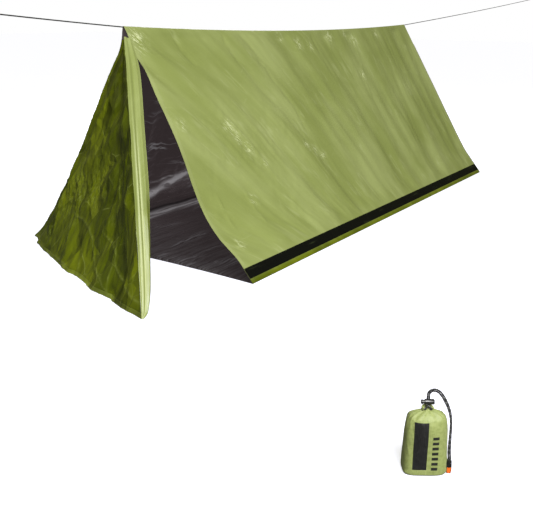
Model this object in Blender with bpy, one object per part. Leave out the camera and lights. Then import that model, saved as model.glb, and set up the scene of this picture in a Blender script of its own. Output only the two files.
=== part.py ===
# Emergency tube tent, pitched on its ridge line, with its filled stuff sack standing before the mouth.
# +X runs along the ridge from the mouth to the rear, the near wall is at -Y, and the origin is
# the centre of the floor's underside, at z = 0.

import math

import bpy
import bmesh
from mathutils import Matrix, Vector

# Tent: the film tube and its ridge
TENT_LENGTH = 2.44
FLOOR_WIDTH = 1.08
RIDGE_HEIGHT = 0.835
RIDGE_SAG = 0.024
FILM = 0.001
PIECE_GAP = 0.0003

# Folds and bellies of the film walls, all inwards of the flat wall; a belly's shares run up the slant
MOUTH_BELLY = 0.026
NEAR_BELLY = 0.019
FAR_BELLY = 0.028
MOUTH_BELLY_FADE = 0.55
HINGE_EDGE_FLAT = 0.06
HINGE_EDGE_FADE = 0.30
MOUTH_BELLY_SHARES = (
    (0.0, 0.0), (0.11, 0.30), (0.20, 0.90), (0.29, 1.0), (0.45, 0.60), (0.60, 0.27), (0.75, 0.15), (1.0, 0.0),
)
NEAR_BELLY_SHARES = ((0.0, 0.0), (0.10, 0.63), (0.20, 1.0), (0.48, 0.68), (0.75, 0.37), (1.0, 0.0))
FAR_BELLY_SHARES = ((0.0, 0.0), (0.06, 0.70), (0.12, 1.0), (0.30, 0.78), (0.60, 0.44), (1.0, 0.0))
TENSION_FOLD = 0.009
TENSION_FOLD_FADE = 0.9
TENSION_FOLD_COUNT = 7
REAR_FOLD = 0.008
REAR_FOLD_PITCH = 0.13
REAR_FOLD_REACH = 0.6
FLAT_FOOT = 0.08
FOLD_RISE = 0.12

# Seam tape along the foot of the near wall
TAPE_WIDTH = 0.040
TAPE_MARGIN = 0.018
TAPE_THICKNESS = 0.0004

# Doors: a film triangle at each end with a flap folded back along its free edge
DOOR_APEX_CUT = 0.070
FLAP_WIDTH = 0.058
FLAP_GAP = 0.003
FRONT_DOOR_REST_DEG = 30.0
REAR_DOOR_REST_DEG = 0.0
DOOR_FOLD = 0.016
DOOR_FOLD_COUNT = 4
DOOR_BOTTOM_LIFT = 0.002
FLAP_WIDTH_SHARES = (
    (0.0, 0.12), (0.24, 0.55), (0.43, 0.85), (0.58, 1.0), (0.79, 0.93), (0.94, 0.68), (1.0, 0.25),
)

# Ridge line
ROPE_DIAMETER = 0.004
ROPE_SLOPE = 0.075
FRONT_REACH = 0.66
REAR_REACH = 2.95
ROPE_OWN_SAG = 0.006
LOOP_LENGTH = 0.062
LOOP_SPREAD = 0.024
LOOP_TAIL = 0.046
WRAP_TURNS = 4
WRAP_CLEARANCE = 0.001
WRAP_TURN_GAP = 0.0006
WRAP_INSET = 0.004

# Stuff sack, in its own frame: x to its right, y away from the viewer, z up
SACK_X = -1.97
SACK_Y = -1.45
SACK_TURN_DEG = -57.5
SACK_WIDTH = 0.088
SACK_DEPTH = 0.056
SACK_HEIGHT = 0.134
SACK_WALL = 0.0008
SACK_GATHERS = 9
NECK_RADIUS = 0.0050
NECK_RISE = 0.0042
NECK_HOLE_RADIUS = 0.0016
NECK_CAP_RISE = 0.0003
BUNDLE_SLACK = 0.0010
SACK_SHAPE_SHARES = (
    (0.000, 0.84, 0.74, 0.000),
    (0.025, 0.93, 0.90, 0.000),
    (0.080, 0.985, 0.985, 0.000),
    (0.300, 1.00, 1.00, 0.000),
    (0.600, 1.00, 1.00, 0.000),
    (0.800, 0.985, 0.95, 0.004),
    (0.890, 0.93, 0.84, 0.015),
    (0.945, 0.80, 0.66, 0.035),
    (0.975, 0.58, 0.48, 0.070),
    (0.992, 0.36, 0.34, 0.110),
    (1.000, 0.22, 0.28, 0.080),
)

# Drawcord, its hem channel and its lock
CORD_DIAMETER = 0.0035
STRAND_TWIST = 0.9
HEM_RING_RADIUS = 0.0086
HEM_BORE_CLEARANCE = 0.0004
HEM_WALL = 0.0008
HEM_PLEAT = 0.0008
HEM_PLEATS = 16
HEM_OPENING_DEG = 110.0
HEM_CLEARANCE = 0.0006
LOCK_HEIGHT = 0.1512
BARREL_RADIUS = 0.0055
BARREL_END_WALL = 0.0015
BARREL_RIM = 0.0027
PLUNGER_TRAVEL = 0.0026
PLUNGER_CLEARANCE = 0.0003
PLUNGER_CAP_RADIUS = 0.0046
PLUNGER_CAP_LENGTH = 0.0042
PLUNGER_GROOVE = 0.0006
PLUNGER_LAND = 0.0018
BARREL_WALL = 0.0015
SPRING_WIRE = 0.0006
SPRING_LENGTH = 0.0046
SPRING_TURNS = 3.5
CUT_OVERRUN = 0.002

# Whistle, in its own frame: x from the mouthpiece to the cord end, z from its back to its window
WHISTLE_LENGTH = 0.030
WHISTLE_WIDTH = 0.0108
WHISTLE_THICKNESS = 0.0080
WHISTLE_EDGE = 0.0008
WHISTLE_WINDOW_LENGTH = 0.0150
WHISTLE_SIDE_WALL = 0.0011
WHISTLE_BACK_WALL = 0.0024
WHISTLE_SOCKET_DEPTH = 0.0075
WHISTLE_X = 0.0486
WHISTLE_BACK_Y = -0.0080
SOUND_HOLE_RADIUS = 0.0014
INSERT_NOTCH_LENGTH = 0.0014
WHISTLE_OUTLINE_SHARES = ((0.0, 0.60), (0.05, 0.80), (0.25, 1.0), (0.60, 0.96), (0.93, 0.84), (1.0, 0.78))

# The way of the drawcord's two strands from the lock, over the shoulder and down to the whistle
STRAND_ROUTE = (
    (0.0000, 0.0000, 0.1463),
    (0.0000, 0.0000, 0.1530),
    (0.0000, 0.0000, 0.1600),
    (0.0000, 0.0000, 0.1660),
    (0.0018, -0.0002, 0.1715),
    (0.0062, -0.0007, 0.1758),
    (0.0125, -0.0014, 0.1770),
    (0.0195, -0.0024, 0.1740),
    (0.0260, -0.0036, 0.1670),
    (0.0320, -0.0050, 0.1575),
    (0.0375, -0.0066, 0.1465),
    (0.0422, -0.0082, 0.1340),
    (0.0452, -0.0096, 0.1190),
    (0.0464, -0.0106, 0.1000),
    (0.0466, -0.0112, 0.0800),
    (0.0466, -0.0116, 0.0600),
    (0.0472, -0.0119, 0.0450),
    (0.0483, -0.0120, 0.0360),
    (0.0486, -0.0120, 0.0300),
    (0.0486, -0.0120, 0.0230),
)

# Derived places
FOLD_RADIUS = ROPE_DIAMETER / 2 + PIECE_GAP + FILM
FOOT_Z = 2 * FILM + PIECE_GAP
ROPE_PITCH = ROPE_DIAMETER + PIECE_GAP
CORD_PITCH = CORD_DIAMETER + PIECE_GAP
HINGE_OUT = FILM / 2 + 2 * PIECE_GAP
HINGE_X = -(TENT_LENGTH / 2 + PIECE_GAP + FILM / 2)

WALL_STATIONS = 24
WALL_ROWS = 12
ARC_ROWS = 3
DOOR_ROWS = 13
DOOR_COLUMNS = 14
FLAP_COLUMNS = 3
RING_POINTS = 36
TUBE_SIDES = 8
LOOP_POINTS = 24
SPRING_POINTS = 9


def clear_scene():
    for obj in list(bpy.data.objects):
        bpy.data.objects.remove(obj, do_unlink=True)


def material(name, colour, roughness, metallic=0.0):
    mat = bpy.data.materials.new(name)
    mat.use_nodes = True
    shader = mat.node_tree.nodes["Principled BSDF"]
    shader.inputs["Base Color"].default_value = (*colour, 1.0)
    shader.inputs["Roughness"].default_value = roughness
    shader.inputs["Metallic"].default_value = metallic
    return mat


def add_object(name, data, mat, parent=None):
    obj = bpy.data.objects.new(name, data)
    bpy.context.collection.objects.link(obj)
    if mat:
        data.materials.append(mat)
    obj.parent = parent
    return obj


def place(name, parent=None, location=(0, 0, 0), turn_deg=0.0):
    empty = bpy.data.objects.new(name, None)
    bpy.context.collection.objects.link(empty)
    empty.parent = parent
    empty.location = location
    empty.rotation_euler = (0, 0, math.radians(turn_deg))
    return empty


def hide_cutter(obj):
    obj.hide_render = True
    obj.display_type = "WIRE"
    return obj


def lerp(a, b, share):
    return a + (b - a) * share


def smooth_step(value):
    value = min(max(value, 0.0), 1.0)
    return value * value * (3 - 2 * value)


def share_at(table, share):
    """Read a table of (place share, value share) pairs between its rows."""
    for (low, first), (high, last) in zip(table, table[1:]):
        if share <= high:
            return lerp(first, last, (share - low) / (high - low))
    return table[-1][1]


def sheet(name, rows, thickness, mat, parent=None):
    """One film sheet: a grid of outer points, thickened inwards."""
    mesh = bpy.data.meshes.new(name)
    width = len(rows[0])
    points = [point for row in rows for point in row]
    faces = [
        (i * width + j, (i + 1) * width + j, (i + 1) * width + j + 1, i * width + j + 1)
        for i in range(len(rows) - 1)
        for j in range(width - 1)
    ]
    mesh.from_pydata(points, [], faces)
    mesh.shade_smooth()
    obj = add_object(name, mesh, mat, parent)
    wall = obj.modifiers.new("film thickness", "SOLIDIFY")
    wall.thickness = thickness
    wall.offset = -1
    wall.use_even_offset = True
    return obj


def loft(name, rings, mat, parent=None, close_top=True):
    """Join rings of points, bottom to top, into one skin with a closed bottom."""
    mesh = bpy.data.meshes.new(name)
    count = len(rings[0])
    points = [point for ring in rings for point in ring]
    faces = [tuple(reversed(range(count)))]
    for i in range(len(rings) - 1):
        for j in range(count):
            k = (j + 1) % count
            faces.append((i * count + j, i * count + k, (i + 1) * count + k, (i + 1) * count + j))
    if close_top:
        faces.append(tuple(range((len(rings) - 1) * count, len(rings) * count)))
    mesh.from_pydata(points, [], faces)
    mesh.shade_smooth()
    return add_object(name, mesh, mat, parent)


def box(name, low, high, mat=None, parent=None):
    mesh = bpy.data.meshes.new(name)
    shape = bmesh.new()
    bmesh.ops.create_cube(shape, size=1)
    size = [b - a for a, b in zip(low, high)]
    middle = [(a + b) / 2 for a, b in zip(low, high)]
    bmesh.ops.transform(shape, matrix=Matrix.Diagonal((*size, 1)), verts=shape.verts)
    bmesh.ops.translate(shape, vec=middle, verts=shape.verts)
    shape.to_mesh(mesh)
    shape.free()
    return add_object(name, mesh, mat, parent)


def plate(name, outline, low, high, mat, parent=None):
    """Extrude an outline in x and y between two heights."""
    mesh = bpy.data.meshes.new(name)
    count = len(outline)
    points = [(x, y, low) for x, y in outline] + [(x, y, high) for x, y in outline]
    faces = [tuple(reversed(range(count))), tuple(range(count, 2 * count))]
    for i in range(count):
        j = (i + 1) % count
        faces.append((i, j, count + j, count + i))
    mesh.from_pydata(points, [], faces)
    return add_object(name, mesh, mat, parent)


def turned(name, profile, steps, mat, parent=None):
    """Turn a profile of (axial, radius) points, from axis to axis, about the x axis."""
    mesh = bpy.data.meshes.new(name)
    points = [(profile[0][0], 0, 0)]
    for axial, radius in profile[1:-1]:
        for k in range(steps):
            angle = 2 * math.pi * k / steps
            points.append((axial, radius * math.cos(angle), radius * math.sin(angle)))
    points.append((profile[-1][0], 0, 0))
    last = len(points) - 1
    faces = []
    for k in range(steps):
        n = (k + 1) % steps
        faces.append((0, 1 + n, 1 + k))
        for i in range(len(profile) - 3):
            a, b = 1 + i * steps, 1 + (i + 1) * steps
            faces.append((a + k, a + n, b + n, b + k))
        end = 1 + (len(profile) - 3) * steps
        faces.append((end + k, end + n, last))
    mesh.from_pydata(points, [], faces)
    mesh.shade_smooth()
    mesh.set_sharp_from_angle(angle=math.radians(35))
    return add_object(name, mesh, mat, parent)


def cut(obj, cutter):
    step = obj.modifiers.new("cut " + cutter.name, "BOOLEAN")
    step.operation = "DIFFERENCE"
    step.solver = "EXACT"
    step.object = hide_cutter(cutter)


def tube(name, points, diameter, resolution, mat, parent=None):
    curve = bpy.data.curves.new(name, "CURVE")
    curve.dimensions = "3D"
    curve.bevel_depth = diameter / 2
    curve.bevel_resolution = resolution
    curve.use_fill_caps = True
    spline = curve.splines.new("POLY")
    spline.points.add(len(points) - 1)
    for spot, point in zip(spline.points, points):
        spot.co = (*point, 1)
    return add_object(name, curve, mat, parent)


def smooth_route(route, count):
    """Evenly spaced points on one smooth curve through a route's own points."""
    spots = [Vector(point) for point in route]
    spots = [2 * spots[0] - spots[1], *spots, 2 * spots[-1] - spots[-2]]
    fine = []
    for before, a, b, after in zip(spots, spots[1:], spots[2:], spots[3:]):
        for k in range(12):
            t = k / 12
            fine.append(
                0.5 * (2 * a + (b - before) * t + (2 * before - 5 * a + 4 * b - after) * t**2
                       + (3 * a - before - 3 * b + after) * t**3)
            )
    fine.append(spots[-2])
    lengths = [0.0]
    for a, b in zip(fine, fine[1:]):
        lengths.append(lengths[-1] + (b - a).length)
    even = []
    k = 0
    for i in range(count):
        goal = lengths[-1] * i / (count - 1)
        while k < len(fine) - 2 and lengths[k + 1] < goal:
            k += 1
        even.append(fine[k].lerp(fine[k + 1], (goal - lengths[k]) / (lengths[k + 1] - lengths[k])))
    return even, lengths[-1]


# Tent walls


def ridge_z(u):
    return RIDGE_HEIGHT - RIDGE_SAG * (1 - (2 * u - 1) ** 2)


def wall_section(u):
    """Slant length, direction and outward lean of the flat wall at a station along the tent."""
    centre_z = ridge_z(u) - FOLD_RADIUS
    reach = math.hypot(FLOOR_WIDTH / 2, centre_z - FOOT_Z)
    lean = math.acos(FOLD_RADIUS / reach) - math.atan2(centre_z - FOOT_Z, FLOOR_WIDTH / 2)
    slant = math.sqrt(reach**2 - FOLD_RADIUS**2)
    return centre_z, slant, lean


def wall_point(side, u, along, lift=0.0):
    """A point up the wall's slant, side -1 near and +1 far, lifted outwards from its flat face."""
    _, _, lean = wall_section(u)
    y = FLOOR_WIDTH / 2 - along * math.sin(lean) + lift * math.cos(lean)
    z = FOOT_Z + along * math.cos(lean) + lift * math.sin(lean)
    return Vector((lerp(-TENT_LENGTH / 2, TENT_LENGTH / 2, u), side * y, z))


def belly_depth(side, u, along, slant):
    """How far the film bellies inwards: most at the near wall's mouth edge, and none at a hinge edge."""
    v = along / slant
    run, to_rear = u * TENT_LENGTH, (1 - u) * TENT_LENGTH
    from_hinge = run if side > 0 else to_rear
    calm = smooth_step((from_hinge - HINGE_EDGE_FLAT) / HINGE_EDGE_FADE)
    if side > 0:
        return FAR_BELLY * share_at(FAR_BELLY_SHARES, v) * calm
    mouth = MOUTH_BELLY * share_at(MOUTH_BELLY_SHARES, v)
    behind = NEAR_BELLY * share_at(NEAR_BELLY_SHARES, v) * calm
    above_tape = smooth_step((along - FLAT_FOOT) / FOLD_RISE)
    return above_tape * lerp(behind, mouth, math.exp(-(run / MOUTH_BELLY_FADE) ** 2))


def fold_depth(side, u, along, slant):
    """How far the film hangs inwards of the flat wall."""
    calm = smooth_step((along - FLAT_FOOT) / FOLD_RISE) * smooth_step((slant - along) / FOLD_RISE)
    run = u * TENT_LENGTH
    drop = slant - along
    spoke = math.atan2(drop, run + FOLD_RISE)
    radial = 0.5 - 0.5 * math.cos(4 * spoke * TENSION_FOLD_COUNT / 2 + side)
    tension = TENSION_FOLD * radial * math.exp(-math.hypot(run, drop) / TENSION_FOLD_FADE)
    to_rear = (1 - u) * TENT_LENGTH
    upright = 0.5 - 0.5 * math.cos(2 * math.pi * to_rear / REAR_FOLD_PITCH)
    rear = REAR_FOLD * upright * smooth_step(1 - to_rear / REAR_FOLD_REACH)
    return belly_depth(side, u, along, slant) + calm * (tension + rear)


def film_wall(name, side, mat):
    rows = []
    for i in range(WALL_STATIONS + 1):
        u = i / WALL_STATIONS
        centre_z, slant, lean = wall_section(u)
        row = []
        for j in range(WALL_ROWS + 1):
            along = 0.0 if j == 0 else lerp(FLAT_FOOT, slant, (j - 1) / (WALL_ROWS - 1))
            row.append(wall_point(side, u, along, -fold_depth(side, u, along, slant)))
        crown = math.acos((PIECE_GAP / 2 + FILM / 4) / FOLD_RADIUS)
        for j in range(1, ARC_ROWS + 1):
            angle = lerp(lean, crown, j / ARC_ROWS)
            y = side * FOLD_RADIUS * math.cos(angle)
            row.append(Vector((row[0].x, y, centre_z + FOLD_RADIUS * math.sin(angle))))
        rows.append(row)
    return sheet(name, rows if side < 0 else rows[::-1], FILM, mat)


def seam_tape(mat):
    rows = []
    for i in range(WALL_STATIONS + 1):
        u = i / WALL_STATIONS
        lift = PIECE_GAP + TAPE_THICKNESS
        rows.append([wall_point(-1, u, TAPE_MARGIN, lift), wall_point(-1, u, TAPE_MARGIN + TAPE_WIDTH, lift)])
    return sheet("seam_tape", rows, TAPE_THICKNESS, mat)


def tent_floor(mat):
    half_length, half_width = TENT_LENGTH / 2, FLOOR_WIDTH / 2
    return box("tent_floor", (-half_length, -half_width, 0), (half_length, half_width, FILM), mat)


# Doors


def hinge_line():
    """Foot of the mouth's hinge edge and the direction that the door turns about."""
    _, _, lean = wall_section(0)
    foot = wall_point(1, 0, 0, HINGE_OUT)
    foot.x = HINGE_X
    return foot, Vector((0, math.sin(lean), -math.cos(lean)))


def door(name, rest_deg, end_turn_deg, mat):
    """A door drawn shut at the mouth, then turned to its rest angle about its hinge edge."""
    foot, axis = hinge_line()
    _, slant, _ = wall_section(0)
    top = slant - DOOR_APEX_CUT
    outer_x = HINGE_X - FILM / 2
    rows = []
    for i in range(DOOR_ROWS + 1):
        t = i / DOOR_ROWS
        along = lerp(DOOR_BOTTOM_LIFT, top, t)
        hinge = wall_point(1, 0, along, HINGE_OUT)
        free = wall_point(-1, 0, along, FLAP_GAP + FILM)
        hinge.x = free.x = outer_x
        row = []
        for j in range(DOOR_COLUMNS + 1):
            a = j / DOOR_COLUMNS
            ripple = 0.5 - 0.5 * math.cos(2 * math.pi * DOOR_FOLD_COUNT * a)
            bulge = DOOR_FOLD * math.sin(math.pi * a) ** 2 * (0.4 + 0.6 * ripple) * math.sin(math.pi * t) ** 0.5
            row.append(hinge.lerp(free, a) - Vector((bulge, 0, 0)))
        width = FLAP_WIDTH * share_at(FLAP_WIDTH_SHARES, t)
        for j in range(1, FLAP_COLUMNS + 1):
            row.append(free + Vector((width * j / FLAP_COLUMNS, 0, 0)))
        rows.append([point - foot for point in row])
    leaf = sheet(name, rows[::-1], FILM, mat)
    end = Matrix.Rotation(math.radians(end_turn_deg), 4, "Z")
    leaf.matrix_world = end @ Matrix.Translation(foot) @ Matrix.Rotation(math.radians(rest_deg), 4, axis)
    turned_foot, turned_axis = end @ foot, end.to_3x3() @ axis
    print(name, "hinge", [round(c, 6) for c in turned_foot], "axis", [round(c, 6) for c in turned_axis])
    return leaf


# Ridge line


def rope_z(x):
    """Height of the rope's centre where it runs under the ridge fold."""
    return ridge_z(x / TENT_LENGTH + 0.5) - FOLD_RADIUS


def rope_inside(mat):
    count = 26
    points = []
    for i in range(count + 1):
        x = lerp(-TENT_LENGTH / 2, TENT_LENGTH / 2, i / count)
        points.append((x, 0, rope_z(x)))
    tube("ridge_line", points, ROPE_DIAMETER, 2, mat)


def rope_stretch(end, reach, count):
    """Points of the taut stretch from one ridge end to its knot, end -1 front and +1 rear."""
    start = end * (TENT_LENGTH / 2 + PIECE_GAP)
    base = rope_z(TENT_LENGTH / 2)
    points = []
    for i in range(count + 1):
        s = i / count
        sag = ROPE_OWN_SAG * 4 * s * (1 - s) * reach / REAR_REACH
        points.append(Vector((start + end * s * reach, 0, base + ROPE_SLOPE * s * reach - sag)))
    return points


def rope_end(label, end, reach, count, mat):
    points = rope_stretch(end, reach, count)
    tube("rope_" + label, points, ROPE_DIAMETER, 2, mat)
    out = (points[-1] - points[-2]).normalized()
    side = Vector((0, 1, 0))
    down = out.cross(side) * end
    tip = points[-1]
    loop = []
    for k in range(LOOP_POINTS + 1):
        turn = 2 * math.pi * k / LOOP_POINTS
        ahead = PIECE_GAP + LOOP_LENGTH * math.sin(turn / 2)
        drop = ROPE_PITCH * smooth_step(k / LOOP_POINTS) - LOOP_SPREAD * math.sin(turn) * math.sin(turn / 2)
        loop.append(tip + out * ahead + down * drop)
    for k in range(1, 6):
        loop.append(tip - out * LOOP_TAIL * k / 5 + down * ROPE_PITCH)
    tube("loop_" + label, loop, ROPE_DIAMETER, 1, mat)
    tall = ROPE_PITCH / 2 + ROPE_DIAMETER + WRAP_CLEARANCE
    wide = ROPE_DIAMETER + WRAP_CLEARANCE
    pitch = ROPE_DIAMETER + WRAP_TURN_GAP
    wrap = []
    steps = WRAP_TURNS * LOOP_POINTS
    for k in range(steps + 1):
        turn = 2 * math.pi * k / LOOP_POINTS
        back = WRAP_INSET + pitch * k / LOOP_POINTS
        across = side * wide * math.sin(turn) + down * (ROPE_PITCH / 2 + tall * math.cos(turn))
        wrap.append(tip - out * back + across)
    first = (wrap[0] - wrap[1]).normalized() * ROPE_DIAMETER
    last = (wrap[-1] - wrap[-2]).normalized() * ROPE_DIAMETER
    wrap = [wrap[0] + first, *wrap, wrap[-1] + last]
    tube("knot_" + label, wrap, ROPE_DIAMETER, 1, mat)
    least = min(
        (wrap[i] - wrap[j]).length
        for i in range(len(wrap))
        for j in range(i + LOOP_POINTS // 2, len(wrap))
    )
    print("knot", label, "least gap to itself, mm", round((least - ROPE_DIAMETER) * 1000, 3))


# Stuff sack


def oval(z, half_width, half_depth, gather=0.0):
    """One level ring of the sack, squarish where it is full and pleated where it is gathered."""
    ring = []
    square = 0.78
    for k in range(RING_POINTS):
        angle = 2 * math.pi * k / RING_POINTS
        c, s = math.cos(angle), math.sin(angle)
        pleat = 1 - gather * (0.5 - 0.5 * math.cos(SACK_GATHERS * angle))
        x = half_width * math.copysign(abs(c) ** square, c) * pleat
        y = half_depth * math.copysign(abs(s) ** square, s) * pleat
        ring.append((x, y, z))
    return ring


def sack_body(mat, parent):
    half_width, half_depth = SACK_WIDTH / 2, SACK_DEPTH / 2
    rings = [
        oval(SACK_HEIGHT * up, half_width * wide, half_depth * deep, gather)
        for up, wide, deep, gather in SACK_SHAPE_SHARES
    ]
    neck_z = SACK_HEIGHT + NECK_RISE
    rings.append(oval(SACK_HEIGHT + PIECE_GAP, NECK_RADIUS, NECK_RADIUS))
    rings.append(oval(neck_z, NECK_RADIUS, NECK_RADIUS))
    rings.append(oval(neck_z + NECK_CAP_RISE, NECK_HOLE_RADIUS, NECK_HOLE_RADIUS))
    body = loft("sack_body", rings, mat, parent, close_top=False)
    wall = body.modifiers.new("fabric thickness", "SOLIDIFY")
    wall.thickness = SACK_WALL
    wall.offset = -1
    return body


def packed_bundle(mat, parent):
    """The folded film inside the sack, one rounded block that fills it to the shoulders."""
    inset = SACK_WALL + BUNDLE_SLACK
    rings = []
    for up, wide, deep, _ in SACK_SHAPE_SHARES[:-3]:
        z = lerp(inset, SACK_HEIGHT - 3 * inset, up)
        rings.append(oval(z, SACK_WIDTH / 2 * wide - inset, SACK_DEPTH / 2 * deep - inset))
    return loft("packed_bundle", rings, mat, parent)


def hem_ring_z():
    bore = CORD_DIAMETER / 2 + HEM_BORE_CLEARANCE
    return SACK_HEIGHT + PIECE_GAP + HEM_CLEARANCE + bore + HEM_WALL + HEM_PLEAT


def sack_hem(mat, parent):
    """The gathered channel round the neck: a pleated tube with its bore, open at the front."""
    bore = CORD_DIAMETER / 2 + HEM_BORE_CLEARANCE
    stations = 32
    mesh = bpy.data.meshes.new("sack_hem")
    points = []
    for i in range(stations + 1):
        sweep = math.radians(lerp(HEM_OPENING_DEG / 2, 360 - HEM_OPENING_DEG / 2, i / stations) - 90)
        pleat = HEM_PLEAT * (0.5 - 0.5 * math.cos(HEM_PLEATS * 2 * math.pi * i / stations))
        for radius in (bore + HEM_WALL + pleat, bore):
            for k in range(TUBE_SIDES):
                angle = 2 * math.pi * k / TUBE_SIDES
                out = HEM_RING_RADIUS + min(radius, bore + HEM_WALL) * math.cos(angle)
                if math.cos(angle) > 0:
                    out = HEM_RING_RADIUS + radius * math.cos(angle)
                z = hem_ring_z() + radius * math.sin(angle)
                points.append((out * math.cos(sweep), out * math.sin(sweep), z))
    faces = []
    ring = 2 * TUBE_SIDES
    for i in range(stations):
        for k in range(TUBE_SIDES):
            n = (k + 1) % TUBE_SIDES
            a, b = i * ring, (i + 1) * ring
            faces.append((a + k, b + k, b + n, a + n))
            c, d = a + TUBE_SIDES, b + TUBE_SIDES
            faces.append((c + k, c + n, d + n, d + k))
    for k in range(TUBE_SIDES):
        n = (k + 1) % TUBE_SIDES
        end = stations * ring
        faces.append((k, n, TUBE_SIDES + n, TUBE_SIDES + k))
        faces.append((end + n, end + k, end + TUBE_SIDES + k, end + TUBE_SIDES + n))
    mesh.from_pydata(points, [], faces)
    mesh.shade_smooth()
    return add_object("sack_hem", mesh, mat, parent)


def neck_cord(mat, parent):
    """The drawcord's turn inside the channel, with both ends rising to the lock."""
    half = CORD_PITCH / 2
    low = LOCK_HEIGHT - BARREL_RADIUS + PIECE_GAP
    rise = [
        (half, 0, low),
        (half, 0, low - CORD_DIAMETER / 2),
        (half * 1.1, -CORD_DIAMETER / 2, low - CORD_DIAMETER),
        (half * 1.9, -CORD_DIAMETER * 1.4, low - CORD_DIAMETER * 1.6),
    ]
    ring = []
    stations = 26
    inside = HEM_OPENING_DEG / 2 - 12
    for i in range(stations + 1):
        sweep = math.radians(lerp(inside, 360 - inside, i / stations) - 90)
        ring.append((HEM_RING_RADIUS * math.cos(sweep), HEM_RING_RADIUS * math.sin(sweep), hem_ring_z()))
    mirrored = [(-x, y, z) for x, y, z in rise]
    points, _ = smooth_route([*rise, *ring, *mirrored[::-1]], 44)
    return tube("drawcord_neck", points, CORD_DIAMETER, 2, mat, parent)


def strand_points(side):
    """One drawcord strand beside its twin, in the plane of the bend, with half a twist on the way."""
    route, length = smooth_route(STRAND_ROUTE, 36)
    points = []
    for i, point in enumerate(route):
        along = (route[min(i + 1, len(route) - 1)] - route[max(i - 1, 0)]).normalized()
        outer = along.cross(Vector((0, 1, 0))).normalized()
        swing = STRAND_TWIST * math.sin(math.pi * i / (len(route) - 1)) ** 2
        offset = outer * math.cos(swing) + outer.cross(along) * math.sin(swing)
        points.append(point + offset * side * CORD_PITCH / 2)
    return points, length


def drawcord_strands(mat, parent):
    for side, name in ((-1, "drawcord_inner_strand"), (1, "drawcord_outer_strand")):
        points, length = strand_points(side)
        tube(name, points, CORD_DIAMETER, 2, mat, parent)
        print(name, "length, mm", round(length * 1000, 1))


# Cord lock


def lock_sizes():
    """Axial places along the lock, from its left end to its right end."""
    strands = CORD_PITCH + CORD_DIAMETER / 2 - PIECE_GAP / 2
    slot_left = -strands + CORD_PITCH / 2 - PIECE_GAP
    grip_right = -slot_left
    slot_right = grip_right + PLUNGER_TRAVEL
    rim = slot_left - BARREL_RIM
    stem_end = grip_right + PLUNGER_LAND
    bore_end = stem_end + PIECE_GAP + SPRING_LENGTH + PIECE_GAP
    return slot_left, grip_right, slot_right, rim, stem_end, bore_end


def slot_cutter(name, low_x, high_x, parent):
    half = CORD_DIAMETER / 2 + PIECE_GAP
    tall = BARREL_RADIUS + CUT_OVERRUN
    return box(name, (low_x, -half, -tall), (high_x, half, tall), None, parent)


def cord_lock(plastic, steel, parent):
    slot_left, grip_right, slot_right, rim, stem_end, bore_end = lock_sizes()
    bore = BARREL_RADIUS - BARREL_WALL
    right = bore_end + BARREL_END_WALL
    edge = BARREL_END_WALL / 2
    barrel_profile = [
        (bore_end, 0),
        (bore_end, bore),
        (rim, bore),
        (rim, BARREL_RADIUS - edge / 2),
        (rim + edge / 2, BARREL_RADIUS),
        (right - edge, BARREL_RADIUS),
        (right - edge / 3, BARREL_RADIUS - edge / 3),
        (right, BARREL_RADIUS - edge),
        (right, 0),
    ]
    barrel = turned("cord_lock_barrel", barrel_profile, 24, plastic, parent)
    cut(barrel, slot_cutter("barrel slot", slot_left, slot_right, parent))
    stem = bore - PLUNGER_CLEARANCE
    cap_right = rim - PLUNGER_TRAVEL - PIECE_GAP
    cap_left = cap_right - PLUNGER_CAP_LENGTH
    rib = PLUNGER_CAP_LENGTH / 6
    groove = PLUNGER_CAP_RADIUS - PLUNGER_GROOVE
    plunger_profile = [(cap_left, 0), (cap_left, groove), (cap_left + rib / 2, PLUNGER_CAP_RADIUS)]
    for k in range(2):
        at = cap_left + rib * (2 * k + 1)
        plunger_profile += [(at, PLUNGER_CAP_RADIUS), (at + rib / 4, groove)]
        plunger_profile += [(at + rib * 3 / 4, groove), (at + rib, PLUNGER_CAP_RADIUS)]
    plunger_profile += [(cap_right, PLUNGER_CAP_RADIUS), (cap_right, stem), (stem_end, stem), (stem_end, 0)]
    plunger = turned("cord_lock_plunger", plunger_profile, 24, plastic, parent)
    cut(plunger, slot_cutter("plunger slot", slot_left - PLUNGER_TRAVEL, grip_right, parent))
    coil = []
    steps = int(SPRING_TURNS * SPRING_POINTS)
    reach = SPRING_LENGTH - SPRING_WIRE
    radius = stem - SPRING_WIRE
    for k in range(steps + 1):
        turn = 2 * math.pi * k / SPRING_POINTS
        axial = stem_end + PIECE_GAP + SPRING_WIRE / 2 + reach * k / steps
        coil.append(Vector((axial, radius * math.cos(turn), radius * math.sin(turn))))
    tube("cord_lock_spring", coil, SPRING_WIRE, 1, steel, parent)
    least = min((coil[i] - coil[i + SPRING_POINTS]).length for i in range(steps + 1 - SPRING_POINTS))
    print("spring least gap to itself, mm", round((least - SPRING_WIRE) * 1000, 3))


# Whistle


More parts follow.
